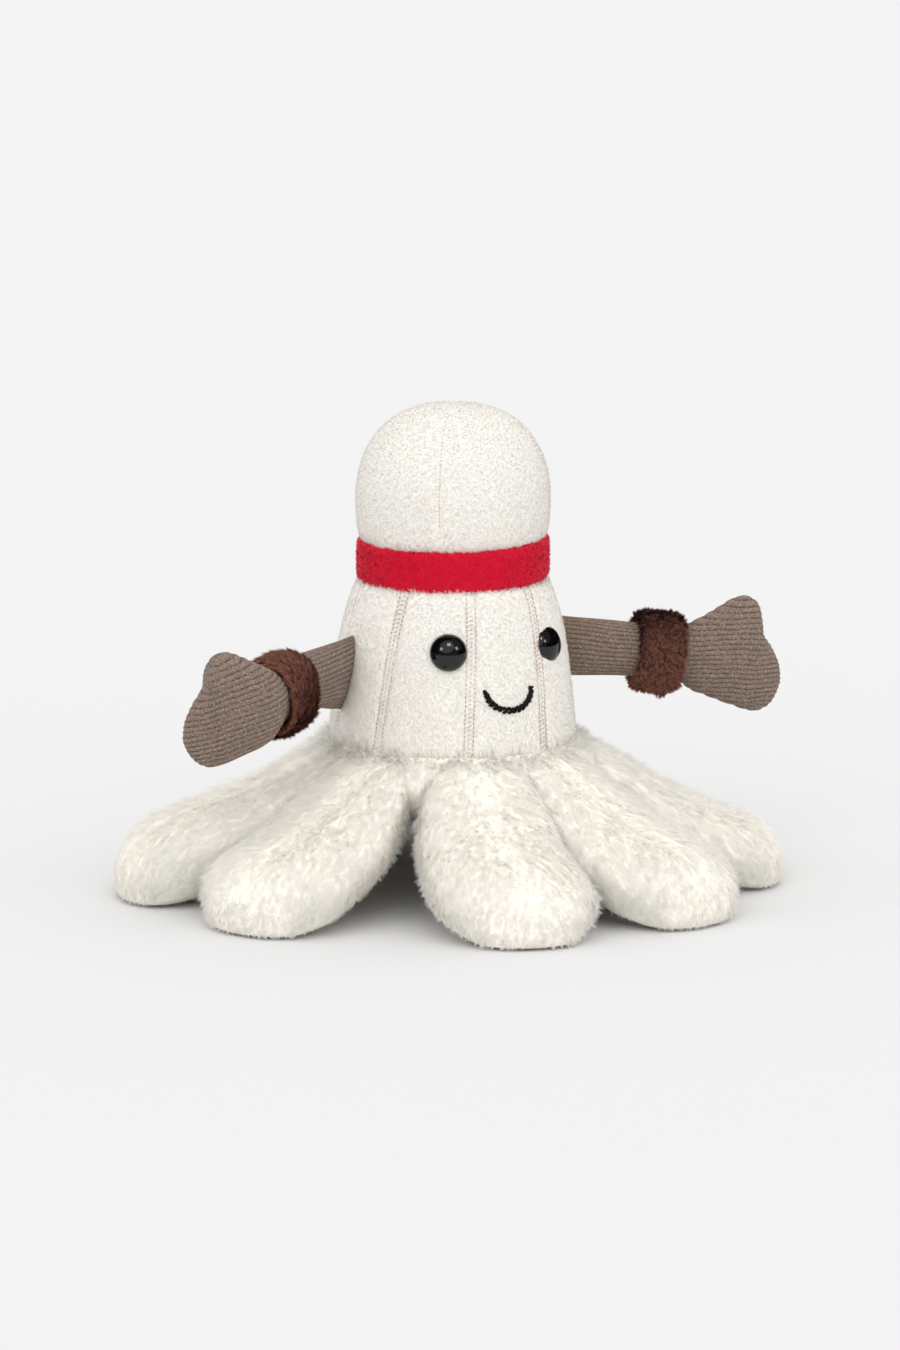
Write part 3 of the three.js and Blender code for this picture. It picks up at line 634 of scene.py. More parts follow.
def draw_fleece(board):
    curl = board.grain(0.55, 3.0)
    patch = board.grain(9.0, 2.0)
    base = board.mix(board.spread(curl, 0.35, 0.62), FLEECE_DEEP, FLEECE)
    speck = board.grain(1.3, 0.0).over(0.83)
    base = board.mix(patch * 0.22, base, srgb(242, 238, 228))
    colour = board.mix(speck * 0.3, base, srgb(196, 178, 152))
    return {"Base Color": colour, "Normal": board.bump(curl, 0.06)}


def draw_nap(board):
    shade = board.attribute("shade")
    tip = board.attribute("tip")
    base = board.mix(tip, FLEECE, srgb(241, 238, 231))
    return {"Base Color": board.mix(shade * 0.2, base, srgb(237, 233, 224))}


fleece = finish("cream_fleece", draw_fleece, {"Roughness": 0.95, "Sheen Weight": 0.15})
nap_shine = {"Roughness": 1.0, "Specular IOR Level": 0.1}
nap = finish("fleece_nap", draw_nap, nap_shine, through=(0.3, srgb(250, 248, 244)))
nap_tufts = tufts("nap_tuft", 6, 6, 0.5, 0.1, 0.2, 0.14, nap)
NAP_BRUSH = {"per_mm2": 3.5, "lean": 12, "swirl": 0.4, "swirl_size": 1.0, "jitter": 0.8, "soften": 1.0}


# %% [markdown]
# ## Skirt
# Nine tapered panels make the skirt. Each joint between two panels is a flat seam: two rows of
# stitches about two millimetres apart, with threads across like the rungs of a ladder, pulled a little
# into the cloth so that the panels swell between them. One spun shell has the panels' shape, and its
# columns stand closer together near the seams, where the relief is fine. The panels aren't sewn quite
# evenly: they are turned a little under the band, and the seam by the right arm leans out at the hem.

# %% Skirt shape
PANELS = 9
PANEL_ANGLE = 360 / PANELS
HEM = 36.1
NECK_START = 76.2
NECK_JOIN = 81.35
NECK_RADIUS = 22.2
SKIRT_LINE = [(HEM, 30.4), (57, 28.0), (66, 26.4), (71, 25.1), (75.2, 23.5), (NECK_START, NECK_RADIUS)]
PANEL_CROWN = 0.75
SEAM_HALF = 1.1  # from the middle of a seam to each row of stitches
NECK_LEAN = 2.5  # degrees by which all panels are turned under the band
HEM_LEAN = 6.5  # degrees by which the seam beside the right arm leans out at the hem


def skirt_radius(height):
    return np.where(height > NECK_START, NECK_RADIUS, smooth(SKIRT_LINE, height))


def seam_lean(azimuth, height):
    """How many degrees the panels lie aside of an even spacing."""
    down = 1 - np.clip((height - HEM) / (NECK_START - HEM), 0, 1)
    at_hem = HEM_LEAN * bell(azimuth + 60, 24) + bell(azimuth, 30)
    return NECK_LEAN * (1 - down) - down * at_hem


def skirt_swell(azimuth, height):
    """How far the cloth stands out of a plain turned shape."""
    share = 2 * np.mod((azimuth - seam_lean(azimuth, height)) / PANEL_ANGLE + 0.5, 1) - 1
    from_seam = (1 - np.abs(share)) * np.radians(PANEL_ANGLE / 2) * skirt_radius(height)
    up = np.clip((height - HEM) / (NECK_START - HEM), 0, 1)
    crown = PANEL_CROWN * 4 * up * (1 - up) * (1 - share**2)
    rows = -0.34 * bell(from_seam - SEAM_HALF, 0.42)
    joint = -0.2 * bell(from_seam, 0.3)
    fade = step(height, HEM + 0.5, HEM + 2) * (1 - step(height, 74.5, NECK_START))
    return crown + (rows + joint) * fade


def gathered(azimuth, angle, pull=0.55):
    """Azimuths moved towards the seams that repeat at this angle, to have more points there."""
    share = 2 * np.mod(azimuth / angle + 0.5, 1) - 1
    closer = (1 - pull) * share + pull * np.sin(share * np.pi / 2)
    return azimuth + (closer - share) * angle / 2


def polar(points):
    """Azimuths in degrees, radii and heights of points in millimetres."""
    azimuth = np.degrees(np.arctan2(points[:, 0], -points[:, 1]))
    return azimuth, np.hypot(points[:, 0], points[:, 1]), points[:, 2]


# %% Skirt cloth
CLOTH = 1.2
HEM_TUCK = 1.3  # how far the cloth goes down into the fur below the hem
heights = np.linspace(HEM - HEM_TUCK, NECK_START, 64)
outside = [(float(skirt_radius(height)), height) for height in heights]
outside += [(NECK_RADIUS, 78.5), (NECK_RADIUS, NECK_JOIN)]
inside = [(radius - CLOTH, height) for radius, height in outside[::-8]]
skirt = spun("skirt_cloth", outside + inside, PANELS * 36, fleece, closed=True)
azimuth, radius, height = polar(points_of(skirt.data))
azimuth = gathered(azimuth, PANEL_ANGLE)
azimuth = azimuth + seam_lean(azimuth, height)
outer = radius > skirt_radius(height) - CLOTH / 2
radius = radius + skirt_swell(azimuth, height)
shape = around(azimuth, radius, height)
radius = radius + 0.22 * lumps(shape, 9, 1) + 0.06 * lumps(shape, 2.2, 2)
move_to(skirt.data, around(azimuth, radius, height))
note(skirt.data, "grow", outer * (height < 77.5))
note(skirt.data, "tall", 1 + 0.9 * step(height, 74.3, 75.6))
note(skirt.data, "comb", around(azimuth, 0, 0.1 + 0.6 * step(height, 74.5, 76.5)))
note(skirt.data, "stand", 0.5 * step(height, 74.3, 75.6))
skirt_nap = pile("skirt_nap", skirt, nap_tufts, seed=11, **NAP_BRUSH)

for piece in (skirt, skirt_nap):
    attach(piece, "root")
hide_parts(*[f"skirt_panel_{i + 1}" for i in range(PANELS)])
told(skirt)

# %% [markdown]
# ## Seam stitches
# The thread is a pinkish tan, a little darker than the fleece. Two rows of stitches run down each seam,
# with slanting rungs between them. Every stitch is a small ball drawn out along its thread, half sunk in
# the groove, so thousands of them cost little.

# %% Stitches of the skirt's seams
THREAD = srgb(196, 170, 153)


def draw_thread(board):
    worn = board.grain(0.4)
    return {"Base Color": board.mix(worn, THREAD, srgb(178, 152, 135))}


seam_thread = finish("seam_thread", draw_thread, {"Roughness": 0.8, "Sheen Weight": 0.1})


bm = bmesh.new()
bmesh.ops.create_uvsphere(bm, u_segments=6, v_segments=4, radius=0.5)
in_order(bm)
ball = bpy.data.meshes.new("thread_ball")
bm.to_mesh(ball)
bm.free()


def stitch(bm, middle, along, out, size):
    """One thread of a seam: a ball drawn out along the seam, size long, wide and thick."""
    along = Vector(along).normalized()
    side = Vector(out).cross(along).normalized()
    turn = Matrix((along, side, along.cross(side))).transposed().to_4x4()
    thread = ball.copy()
    shape = Matrix.Diagonal((*(Vector(size) * MM), 1))
    thread.transform(Matrix.Translation(Vector(middle) * MM) @ turn @ shape)
    bm.from_mesh(thread)
    bpy.data.meshes.remove(thread)


def on_skirt(azimuth, height, raised=0.0):
    return around(azimuth, skirt_radius(height) + skirt_swell(azimuth, height) + raised, height)


STITCH_PITCH = 1.05
STITCH_SIZE = (0.86, 0.36, 0.3)
RUNG_SIZE = (1.9, 0.24, 0.24)
RUNG_SHARE = 0.86  # how far towards each row a rung reaches
bm = bmesh.new()
dice = random.Random(5)
for panel in range(PANELS):
    even = PANEL_ANGLE * (panel + 0.5 - 5)
    for height in np.arange(HEM + 1, 75.6, STITCH_PITCH):
        seam = even
        for _ in range(4):  # the lean depends on where the seam is, so it is closed in on
            seam = even + float(seam_lean(seam, height))
        width = math.degrees(SEAM_HALF / float(skirt_radius(height)))
        out = around(seam, 1, 0.1)
        for side in (-1, 1):
            low = on_skirt(seam + side * width, height, 0.06)
            high = on_skirt(seam + side * width, height + 0.6, 0.06)
            stitch(bm, low, high - low, out, STITCH_SIZE)
        left = on_skirt(seam - RUNG_SHARE * width, height + dice.uniform(0.1, 0.3), 0.05)
        right = on_skirt(seam + RUNG_SHARE * width, height + dice.uniform(0.5, 0.7), 0.05)
        stitch(bm, (left + right) / 2, right - left, out, RUNG_SIZE)
seams = object_of("skirt_stitches", bm, seam_thread)
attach(seams, "root")
told(seams)

# %% [markdown]
# ## Cork
# The cork is a squarish dome of four gores, drawn in under the band. Its seams are plain, so they show
# only as fine lines where the two nap surfaces part, with a row of tiny stitches in them. It is spun
# like the skirt, closed at its pole.

# %% Cork cloth
CORK_START = 81.65
DOME_TOP = 119.0
DOME_EQUATOR = 95.5
DOME_RADIUS = 23.8  # without the nap
DOME_FULLNESS = 2.25
GORE_ANGLE = 90
GORE_TURN = -36
rise = np.sin(np.linspace(0, np.pi / 2, 40))
dome = [
    (
        DOME_RADIUS * (1 - up**DOME_FULLNESS) ** (1 / DOME_FULLNESS),
        DOME_EQUATOR + up * (DOME_TOP - DOME_EQUATOR),
    )
    for up in rise
]
dome[-1] = (0, DOME_TOP)
LOWER = [(CORK_START, NECK_RADIUS), (84.6, NECK_RADIUS), (87.2, 23.1), (90.5, 23.6)]
LOWER.append((DOME_EQUATOR, DOME_RADIUS))
low = [(float(smooth(LOWER, height)), height) for height in np.linspace(CORK_START, DOME_EQUATOR - 0.4, 22)]
outline = low + dome
outline_radii, outline_heights = np.array(outline).T
lining = [
    (max(0, radius - CLOTH * (1 - step(height, 104, 119))), height - CLOTH * step(height, 100, 119))
    for radius, height in outline[::-3]
]
lining[0] = (0, DOME_TOP - CLOTH)
lining.append((NECK_RADIUS - CLOTH, CORK_START))
cork = spun("cork_cloth", (outline + lining)[::-1], 240, fleece)
azimuth, radius, height = polar(points_of(cork.data))
azimuth = gathered(azimuth - GORE_TURN - GORE_ANGLE / 2, GORE_ANGLE) + GORE_TURN + GORE_ANGLE / 2
share = 2 * np.mod((azimuth - GORE_TURN) / GORE_ANGLE, 1) - 1
from_seam = (1 - np.abs(share)) * np.radians(GORE_ANGLE / 2) * radius
high = step(height, 86.5, 90)
sink = 0.12 * bell(from_seam, 0.2) + 0.16 * bell(from_seam, 1.8)
points = around(azimuth, radius, height)
up_share = step(height, 108, 118)[:, None]
away = around(azimuth, 1.0, 0.0) * (1 - up_share) + np.array((0, 0, 1)) * up_share
swell = 0.3 * lumps(points, 11, 3) + 0.06 * lumps(points, 2.4, 4) - sink * high
move_to(cork.data, points + away * swell[:, None])
bigger = np.interp(height, outline_heights, outline_radii)
outer = (radius > bigger - CLOTH * 0.4) & (height > 83.8)
outer |= height > DOME_TOP - CLOTH / 2
note(cork.data, "grow", outer * (1 - 0.6 * bell(from_seam, 0.25) * high))
note(cork.data, "tall", 1 + 0.5 * (1 - step(height, 85.5, 87.5)))
note(cork.data, "comb", around(azimuth, 0.0, 0.05 - 0.5 * (height < 87)))
note(cork.data, "stand", np.zeros(len(height)))
cork_nap = pile("cork_nap", cork, nap_tufts, seed=12, **NAP_BRUSH)

for piece in (cork, cork_nap):
    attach(piece, "root")
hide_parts(*[f"cork_gore_{i + 1}" for i in range(4)])
told(cork)

# %% Stitches that show in the cork's seams
bm = bmesh.new()
CORK_PITCH = 0.85
CORK_STITCH = (0.5, 0.17, 0.2)
for gore in range(4):
    seam = GORE_TURN + gore * GORE_ANGLE
    for height in np.arange(92, 116.5, CORK_PITCH):
        ends = np.array((height, height + 0.5))
        seam_radius = np.interp(ends, outline_heights, outline_radii)
        low, high = around(seam, seam_radius + 0.05, ends)
        stitch(bm, low, high - low, around(seam, 1, 0.3), CORK_STITCH)
cork_seams = object_of("cork_stitches", bm, seam_thread)
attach(cork_seams, "root")
told(cork_seams)

# %% [markdown]
# ## Band
# A strip of red towelling is glued round the neck. Its loops are short and thick, so the surface is a
# fine crowd of red curls with dark between them, and the cut edges are ragged. It sits a little
# askew, higher at the picture's right and lower in front.

# %% Red towelling
RED = srgb(248, 34, 76)
RED_DEEP = srgb(222, 22, 60)


def draw_red(board):
    tip = board.attribute("tip")
    shade = board.attribute("shade")
    base = board.mix(tip ** 0.8, RED_DEEP, RED)
    return {"Base Color": board.mix(shade * 0.45, base, srgb(238, 24, 64))}


def draw_red_back(board):
    return {"Base Color": board.mix(board.grain(0.6), RED_DEEP, srgb(190, 10, 40))}


red_shine = {"Roughness": 0.95, "Specular IOR Level": 0.15, "Sheen Weight": 0.2}
red_pile = finish("red_pile", draw_red, red_shine, through=(0.3, srgb(254, 50, 88)))
red_back = finish("red_back", draw_red_back, {"Roughness": 1.0})
BAND_LOW = 76.5
BAND_HIGH = 85.9
BAND_IN = 22.45
BAND_OUT = 23.2
BAND_TILT = math.radians(1.1)
BAND_NOD = math.radians(2.0)  # the band hangs lower in front
edge = 0.5
flat_side = BAND_HIGH - BAND_LOW - 2 * edge
profile = [(BAND_IN, BAND_LOW), (BAND_OUT - edge, BAND_LOW), (BAND_OUT, BAND_LOW + edge)]
for t in np.linspace(0.1, 0.9, 9):
    profile.append((BAND_OUT + 0.12 * math.sin(math.pi * t), BAND_LOW + edge + flat_side * t))
profile += [(BAND_OUT, BAND_HIGH - edge), (BAND_OUT - edge, BAND_HIGH), (BAND_IN, BAND_HIGH)]
band = spun("band_cloth", profile, 160, red_back, closed=True)
points = points_of(band.data)
middle = (BAND_LOW + BAND_HIGH) / 2
front = points @ np.array((sight.x, sight.y, 0))
points[:, 2] -= 0.03 * np.maximum(front, 0) * (points[:, 2] < middle)
points[:, 2] += (points @ np.array(picture_right)) * math.tan(BAND_TILT) - front * math.tan(BAND_NOD) - 0.1
radius = polar(points)[1]
points[:, 2] += 0.16 * lumps(points, 3.0, 6) + 0.14 * lumps(points, 0.9, 7)
move_to(band.data, points)
note(band.data, "grow", (radius > 22.5).astype(float))
note(band.data, "tall", np.ones(len(points)))
note(band.data, "comb", np.zeros((len(points), 3)))
note(band.data, "stand", np.zeros(len(points)))
loop_tufts = tufts("red_tuft", 8, 9, 0.75, 0.22, 0.2, 0.25, red_pile)
band_pile = pile("band_pile", band, loop_tufts, 6, lean=18, swirl=1.0, swirl_size=1.1, jitter=0.4, seed=13)
discard(loop_tufts)
for piece in (band, band_pile):
    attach(piece, "root")
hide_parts("neck_band")
told(band)

# %% [markdown]
# ## Eyes
# Safety eyes are turned domes of black plastic with a small flat rim, pressed through the cloth on a
# stem, the left one deeper than the right. Gloss is all that there is to see of them, so the dome is
# smooth and the finish has faint rubbing in its roughness.


# %% Eyes
def draw_gloss(board):
    rub = board.grain(1.4, 3.0)
    return {"Roughness": rub * 0.09 + 0.03, "Base Color": board.mix(rub, srgb(6, 6, 7), srgb(13, 12, 12))}


eye_shine = {"Specular IOR Level": 0.4, "Coat Weight": 0.2, "Coat Roughness": 0.04}
gloss = finish("eye_gloss", draw_gloss, eye_shine)
EYE_AZIMUTHS = {"left": 31, "right": -30.3}
EYE_HEIGHT = 61.6
EYE_RADIUS = 4.55
EYE_DOME = 3.35
EYE_SUNK = {"left": 1.7, "right": 0.1}  # how far each is pressed into the cloth


def skirt_frame(azimuth, height):
    """A frame on the skirt with its z axis pointing out of the cloth, in millimetres."""
    reach = 3
    along = Vector(on_skirt(azimuth + reach, height) - on_skirt(azimuth - reach, height))
    up = Vector(on_skirt(azimuth, height + reach) - on_skirt(azimuth, height - reach))
    out = along.cross(up).normalized()
    turn = out.to_track_quat("Z", "Y").to_matrix().to_4x4()
    return Matrix.Translation(Vector(on_skirt(azimuth, height))) @ turn


def placed(piece, matrix):
    """Puts a piece's points where a frame in millimetres says."""
    spread = np.array(matrix)
    points = points_of(piece.data) @ spread[:3, :3].T + spread[:3, 3]
    move_to(piece.data, points)
    return piece


eye_line = [(0, -5), (1.2, -5), (1.2, -0.7), (EYE_RADIUS - 0.5, -0.7), (EYE_RADIUS - 0.06, -0.45)]
eye_line += [(EYE_RADIUS, 0.0), (EYE_RADIUS - 0.02, 0.35)]
eye_line += [
    (EYE_RADIUS * math.cos(a), 0.4 + (EYE_DOME - 0.4) * math.sin(a)) for a in np.radians(np.arange(10, 90, 8))
]
eye_line.append((0, EYE_DOME))
for side, azimuth in EYE_AZIMUTHS.items():
    pressed = skirt_frame(azimuth, EYE_HEIGHT) @ Matrix.Translation((0, 0, -EYE_SUNK[side]))
    eye = placed(spun(f"eye_button_{side}", eye_line, 56, gloss), pressed)
    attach(eye, "root")
    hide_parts(f"eye_{side}")
    told(eye)

# %% [markdown]
# ## Smile
# The mouth is embroidered with thick black thread in a row of slanting stitches that overlap like a
# cord. Each stitch is again a drawn-out ball, turned a little across the line.

# %% Smile stitches
SMILE_RADIUS = 6.2
SMILE_DEPTH = 4.8
SMILE_HEIGHT = 52.1


def draw_yarn(board):
    strand = board.grain(0.35, 3.0)
    base = board.mix(strand, srgb(12, 9, 8), srgb(34, 27, 24))
    return {"Base Color": base, "Normal": board.bump(strand, 0.12)}


yarn = finish("smile_thread", draw_yarn, {"Roughness": 0.9, "Specular IOR Level": 0.2})


def smile_point(share):
    a = np.pi * (1 + share)
    height = SMILE_HEIGHT + SMILE_DEPTH * np.sin(a)
    azimuth = np.degrees(SMILE_RADIUS * np.cos(a) / (skirt_radius(height) + PANEL_CROWN))
    return on_skirt(azimuth, height, 0.25)


bm = bmesh.new()
dice = random.Random(9)
SMILE_STITCHES = 15
SMILE_END = (1.5, 0.9, 0.9)  # the stitch across each corner of the mouth
for k in range(SMILE_STITCHES):
    share = (k + 0.5) / SMILE_STITCHES
    here = smile_point(share)
    along = Vector(smile_point(share + 0.02) - smile_point(share - 0.02)).normalized()
    out = Vector(here * (1, 1, 0)).normalized()
    across = out.cross(along)
    slant = along + across * (0.45 + dice.uniform(-0.15, 0.15))
    for lane in (-0.34, 0.34):
        middle = Vector(here) + across * (lane + dice.uniform(-0.12, 0.12)) + along * lane * 0.9
        stitch(bm, middle, slant, out, (dice.uniform(1.8, 2.3), dice.uniform(1.05, 1.35), 1.0))
for share, lean in ((0.0, -0.5), (1.0, 0.35)):
    here = smile_point(share)
    out = Vector(here * (1, 1, 0)).normalized()
    side = Vector((0, 0, 1)).cross(out)
    middle = Vector(here) + Vector((0, 0, 0.15)) + side * lean * 0.6
    stitch(bm, middle, side + Vector((0, 0, lean)), out, SMILE_END)
smile = object_of("smile_stitches", bm, yarn)
sub = smile.modifiers.new("smooth", "SUBSURF")
sub.levels = sub.render_levels = 1
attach(smile, "root")
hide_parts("smile")
told(smile)

# %% [markdown]
# ## Feather legs
# Each leg is a flat stuffed feather: narrow where it leaves the body, broad and blunt at its tip, with
# a stitched crease down the middle for the quill. The skin is a wrapped grid a little inside the CAD
# solid. The fur starts at the hem and is brushed outwards and away from the crease.

# %% Leg sizes
HINGE_RADIUS = 30.3
HINGE_HEIGHT = 27.5
LEG_WIDTH = 35.2
LEG_THICKNESS = 20.2
LEG_SLOPE = math.tan(math.radians(25))
LEG_LENGTHS = [53.2, 51.4, 44, 47, 50.8, 44, 55.3, 53.2, 53.2]
LEG_TURNS = [-1.5, 0, 0, 0, 0, 0, -1, -4.4, 2.5]
LEG_TIPS = {0: 2.5, 7: -2.0, 8: 4.0}  # how far a leg's tip is pushed across
LEG_FULLER = {7: (1.1, 1.03), 8: (1.1, 1)}  # how much broader a leg is at its root and at its outer half
LEG_LIFTS = {1: -1.3, 6: 2.0}  # how much higher the outer half of a leg's back lies, by its number from 0
SKIN_DEPTH = 0.4  # from the CAD solid's surface in to the skin that the fur grows on
LEG_BACK = -6.0  # the hidden end of a leg, inside the body
# (share of the length, share of the full width or thickness) along a leg's outer part
WIDTH_SHARES = ((0.4, 0.49), (0.66, 0.53), (0.8, 0.51), (0.9, 0.4), (0.965, 0.26), (1, 0.1))
HALF_SHARES = ((0.4, 0.48), (0.66, 0.5), (0.83, 0.47), (0.93, 0.4), (0.985, 0.24), (1, 0.12))


def leg_lines(length):
    """Height of the middle, half width and half thickness along a leg, from its hinge outwards."""
    floor = LEG_THICKNESS / 2 - 0.5 - HINGE_HEIGHT
    heights = [(LEG_BACK, 1.8), (0, 0.4), (8, 0.3 - LEG_SLOPE * 8), (0.4 * length, 0.62 * floor)]
    heights += [(0.66 * length, floor + 1.2), (0.83 * length, floor - 1.7)]
    heights += [(0.93 * length, floor - 4), (length, floor - 5.4)]
    widths = [(LEG_BACK, 0.1), (-5, 6.5), (-2, 9.7), (3, 11.6), (9, 13.5), (14, 15)]
    widths += [(share * length, part * LEG_WIDTH) for share, part in WIDTH_SHARES]
    halves = [(LEG_BACK, 0.1), (-5, 5), (-2.5, 7.4), (0, 8.4), (8, 0.43 * LEG_THICKNESS)]
    halves += [(share * length, part * LEG_THICKNESS) for share, part in HALF_SHARES]
    return heights, widths, halves


def leg_frame(number):
    """The hinge, and the directions along and across a leg."""
    azimuth = PANEL_ANGLE * (number + 0.5) + LEG_TURNS[number]
    turn = math.radians(azimuth)
    along = np.array((math.sin(turn), -math.cos(turn), 0))
    across = np.array((math.cos(turn), math.sin(turn), 0))
    return around(azimuth, HINGE_RADIUS, HINGE_HEIGHT), along, across


# %% Fur finishes
def draw_fur(board):
    tip = board.attribute("tip")
    shade = board.attribute("shade")
    # the roots are a little warmer than the ends: painted warm shade for the light deep in the fur
    stops = [(0.0, srgb(254, 250, 243)), (0.4, srgb(255, 254, 251)), (1.0, srgb(255, 255, 253))]
    base = board.ramp(tip, stops)
    return {"Base Color": board.mix(shade * 0.55, base, srgb(253, 248, 239))}


def draw_fur_back(board):
    strand = board.grain(0.45, 4.0)
    patch = board.grain(2.5, 2.0)
    # the backing's own cream, painted darker and warmer where its strand relief is low: painted shade in its
    # hollows
    base = board.mix(board.spread(strand, 0.36, 0.6), srgb(247, 237, 221), srgb(255, 252, 246))
    base = board.mix(patch * 0.2, base, srgb(250, 242, 228))
    return {"Base Color": base, "Normal": board.bump(strand, 0.25)}


fur_shine = {"Roughness": 1.0, "Specular IOR Level": 0.15, "Sheen Weight": 0.1}
white_fur = finish("white_fur", draw_fur, fur_shine, through=(0.5, srgb(255, 255, 253)))
fur_back = finish("fur_back", draw_fur_back, {"Roughness": 1.0})
fur_tufts = tufts("fur_tuft", 8, 10, 3.0, 0.13, 0.36, 0.24, white_fur)
FUR_BRUSH = {"per_mm2": 1.5, "lean": 15, "swirl": 0.3, "swirl_size": 2.6, "jitter": 0.3}
FUR_BRUSH.update({"strays": 2.6, "soften": 0.97})


# %% Leg skins and their fur
QUILL_DEPTH = 1.3  # the stitched crease down a leg's back
QUILL_WIDTH = 2.3
SKIN_CLEARANCE = 0.8  # from the table up to the skin under its fur


def pushed(number, share):
    """How far across its line a leg lies at a share of its length."""
    return LEG_TIPS.get(number, 0) * step(share, 0.5, 1)


def leg_skin(number):
    length = LEG_LENGTHS[number]
    heights, widths, halves = leg_lines(length)
    origin, along, across = leg_frame(number)
    reach = length - SKIN_DEPTH

    def place(turn, share):
        eased = 0.55 * share + 0.45 * (1 - np.cos(np.pi * share)) / 2
        x = LEG_BACK + (reach - LEG_BACK) * eased
        drawn = (x - LEG_BACK) / (reach - LEG_BACK) * (length - LEG_BACK) + LEG_BACK
        inset = SKIN_DEPTH * step(x, LEG_BACK, 4)
        half_width = np.maximum(smooth(widths, drawn) - inset, 0.05)
        half_height = np.maximum(smooth(halves, drawn) - inset, 0.05)
        at_root, at_tip = LEG_FULLER.get(number, (1, 1))
        half_width = half_width * (at_root + (at_tip - at_root) * step(x, 10, 30))
        y, z = rounded(turn, 2.3 + 1.5 * (1 - step(x, 6, 24)))
        y, z = y * half_width, z * half_height
        top = step(z / half_height, 0.3, 0.8)
        fade = step(x, 8, 16) * (1 - step(x, length - 9, length - 3))
        z = z - QUILL_DEPTH * bell(y, QUILL_WIDTH) * top * fade
        z = z + LEG_LIFTS.get(number, 0) * bell(x - 0.68 * length, 15) * step(z / half_height, -0.4, 0.6)
        z = smooth(heights, drawn) + z
        z = np.maximum(z, SKIN_CLEARANCE - HINGE_HEIGHT)
        end = share > 1 - 1e-6
        start = share < 1e-6
        y = np.where(end | start, 0, y) + pushed(number, x / length)
        z = np.where(end, smooth(heights, length), np.where(start, smooth(heights, LEG_BACK), z))
        return origin + x[:, None] * along + y[:, None] * across + z[:, None] * np.array((0, 0, 1))

    skin = wrapped(f"leg_skin_{number + 1}", 72, 60, place, fur_back)
    points = points_of(skin.data)
    normals = normals_of(skin.data)
    soft = 0.35 * lumps(points, 8, 20 + number) * step(points[:, 2], 1, 4)
    points = points + normals * soft[:, None]
    points[:, 2] = np.maximum(points[:, 2], SKIN_CLEARANCE)
    move_to(skin.data, points)
    return skin, origin, along, across, length


def brush_leg(skin, origin, along, across, length, number):
    """Notes how thick, how tall and which way the fur of a leg grows."""
    points = points_of(skin.data)
    normals = normals_of(skin.data)
    x = (points - origin) @ along
    y = (points - origin) @ across - pushed(number, x / length)
    z = points[:, 2]
    up = normals[:, 2]
    tip = step(x, length - 9, length - 2)
    parted = np.sign(y) * step(np.abs(y), 0.0, 7.0) * (0.6 - 0.2 * tip)
    comb = along * (1 - 0.75 * tip)[:, None] + across * parted[:, None]
    down = 0.25 + 0.55 * tip + 0.35 * (1 - np.abs(up))
    comb = comb + np.array((0, 0, -1)) * down[:, None]
    comb = comb / np.linalg.norm(comb, axis=1, keepdims=True)
    grow = step(x, 0.1, 0.6) * (1 - 0.8 * step(-up, 0.5, 0.9))
    crease_gaps = bell(y, 0.7) * step(up, 0.2, 0.6) * step(lumps(points, 3.2, 50 + number), 0.05, 0.3)
    seam_height = 5.0 - 2.2 * step(y, -6, 10)
    seam = bell(z - seam_height, 0.5) * step(x, length - 12, length - 6)
    seam = seam * step(lumps(points, 3.5, 70 + number), -0.25, 0.15)
    grow = grow * (1 - 0.9 * np.maximum(crease_gaps, seam))
    tall = 1 - 0.3 * tip - 0.35 * step(-up, 0.2, 0.7)
    tall = tall * (1 - 0.35 * bell(y, 1.2) * step(up, 0.2, 0.6))
    note(skin.data, "comb", comb)
    note(skin.data, "grow", grow)
    note(skin.data, "tall", tall)
    note(skin.data, "stand", 0.7 * (1 - step(x, 0.8, 3.5)) * step(up, 0.3, 0.8) + 0.35 * bell(up, 0.35))


BLEND_START = -2
BLEND_END = 10
for number in range(PANELS):
    skin, origin, along, across, length = leg_skin(number)
    brush_leg(skin, origin, along, across, length, number)
    fur = pile(f"leg_fur_{number + 1}", skin, fur_tufts, seed=30 + number, **FUR_BRUSH)
    for piece in (skin, fur):
        start = Vector(origin + along * BLEND_START) * MM
        end = Vector(origin + along * BLEND_END) * MM
        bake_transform(piece)
    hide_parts(f"leg_{number + 1}", f"leg_filling_{number + 1}")
    told(skin)

# %% [markdown]
# ## Yoke
# A collar of the same fur joins the skirt's hem to the nine legs and closes the gaps between their
# roots. It is a thick arc over the hinges, turned right round, with its fur brushed out and down.

# %% Yoke
YOKE_RADIUS = 7.7
YOKE_TOP = 0.1  # how much thicker the fur's cloth is over the top
LIP_START = 34.8  # above this the yoke is the lip that lies against the skirt
arc = [math.radians(a) for a in np.linspace(68, -38, 20)]
outline = [(30.9, 36.3), (31.2, 36.3), (31.7, 35.9), (32.3, 35.4)]  # the lip that lies against the skirt
for a in arc:
    reach = YOKE_RADIUS + YOKE_TOP * float(step(math.degrees(a), 20, 60))
    outline.append((HINGE_RADIUS + reach * math.cos(a), HINGE_HEIGHT + reach * math.sin(a)))
outline += [
    (HINGE_RADIUS + (YOKE_RADIUS - 1.5) * math.cos(a), HINGE_HEIGHT + (YOKE_RADIUS - 1.5) * math.sin(a))
    for a in arc[::-3]
]
outline += [(30.9, 34.0), (30.7, 36.2)]
yoke = spun("yoke_skin", outline, 150, fur_back, closed=True)
points = points_of(yoke.data)
azimuth, radius, height = polar(points)
normals = normals_of(yoke.data)
points += normals * (0.3 * lumps(points, 6, 8))[:, None]
move_to(yoke.data, points)
distance = np.hypot(radius - HINGE_RADIUS, height - HINGE_HEIGHT)
rising = step(height, 35.0, 36.2)
comb = around(azimuth, 1.0, -0.6 + 0.5 * step(height, 32, 34.5))
note(yoke.data, "comb", comb / np.linalg.norm(comb, axis=1, keepdims=True))
lip = (height > LIP_START) * (radius > 30.8)
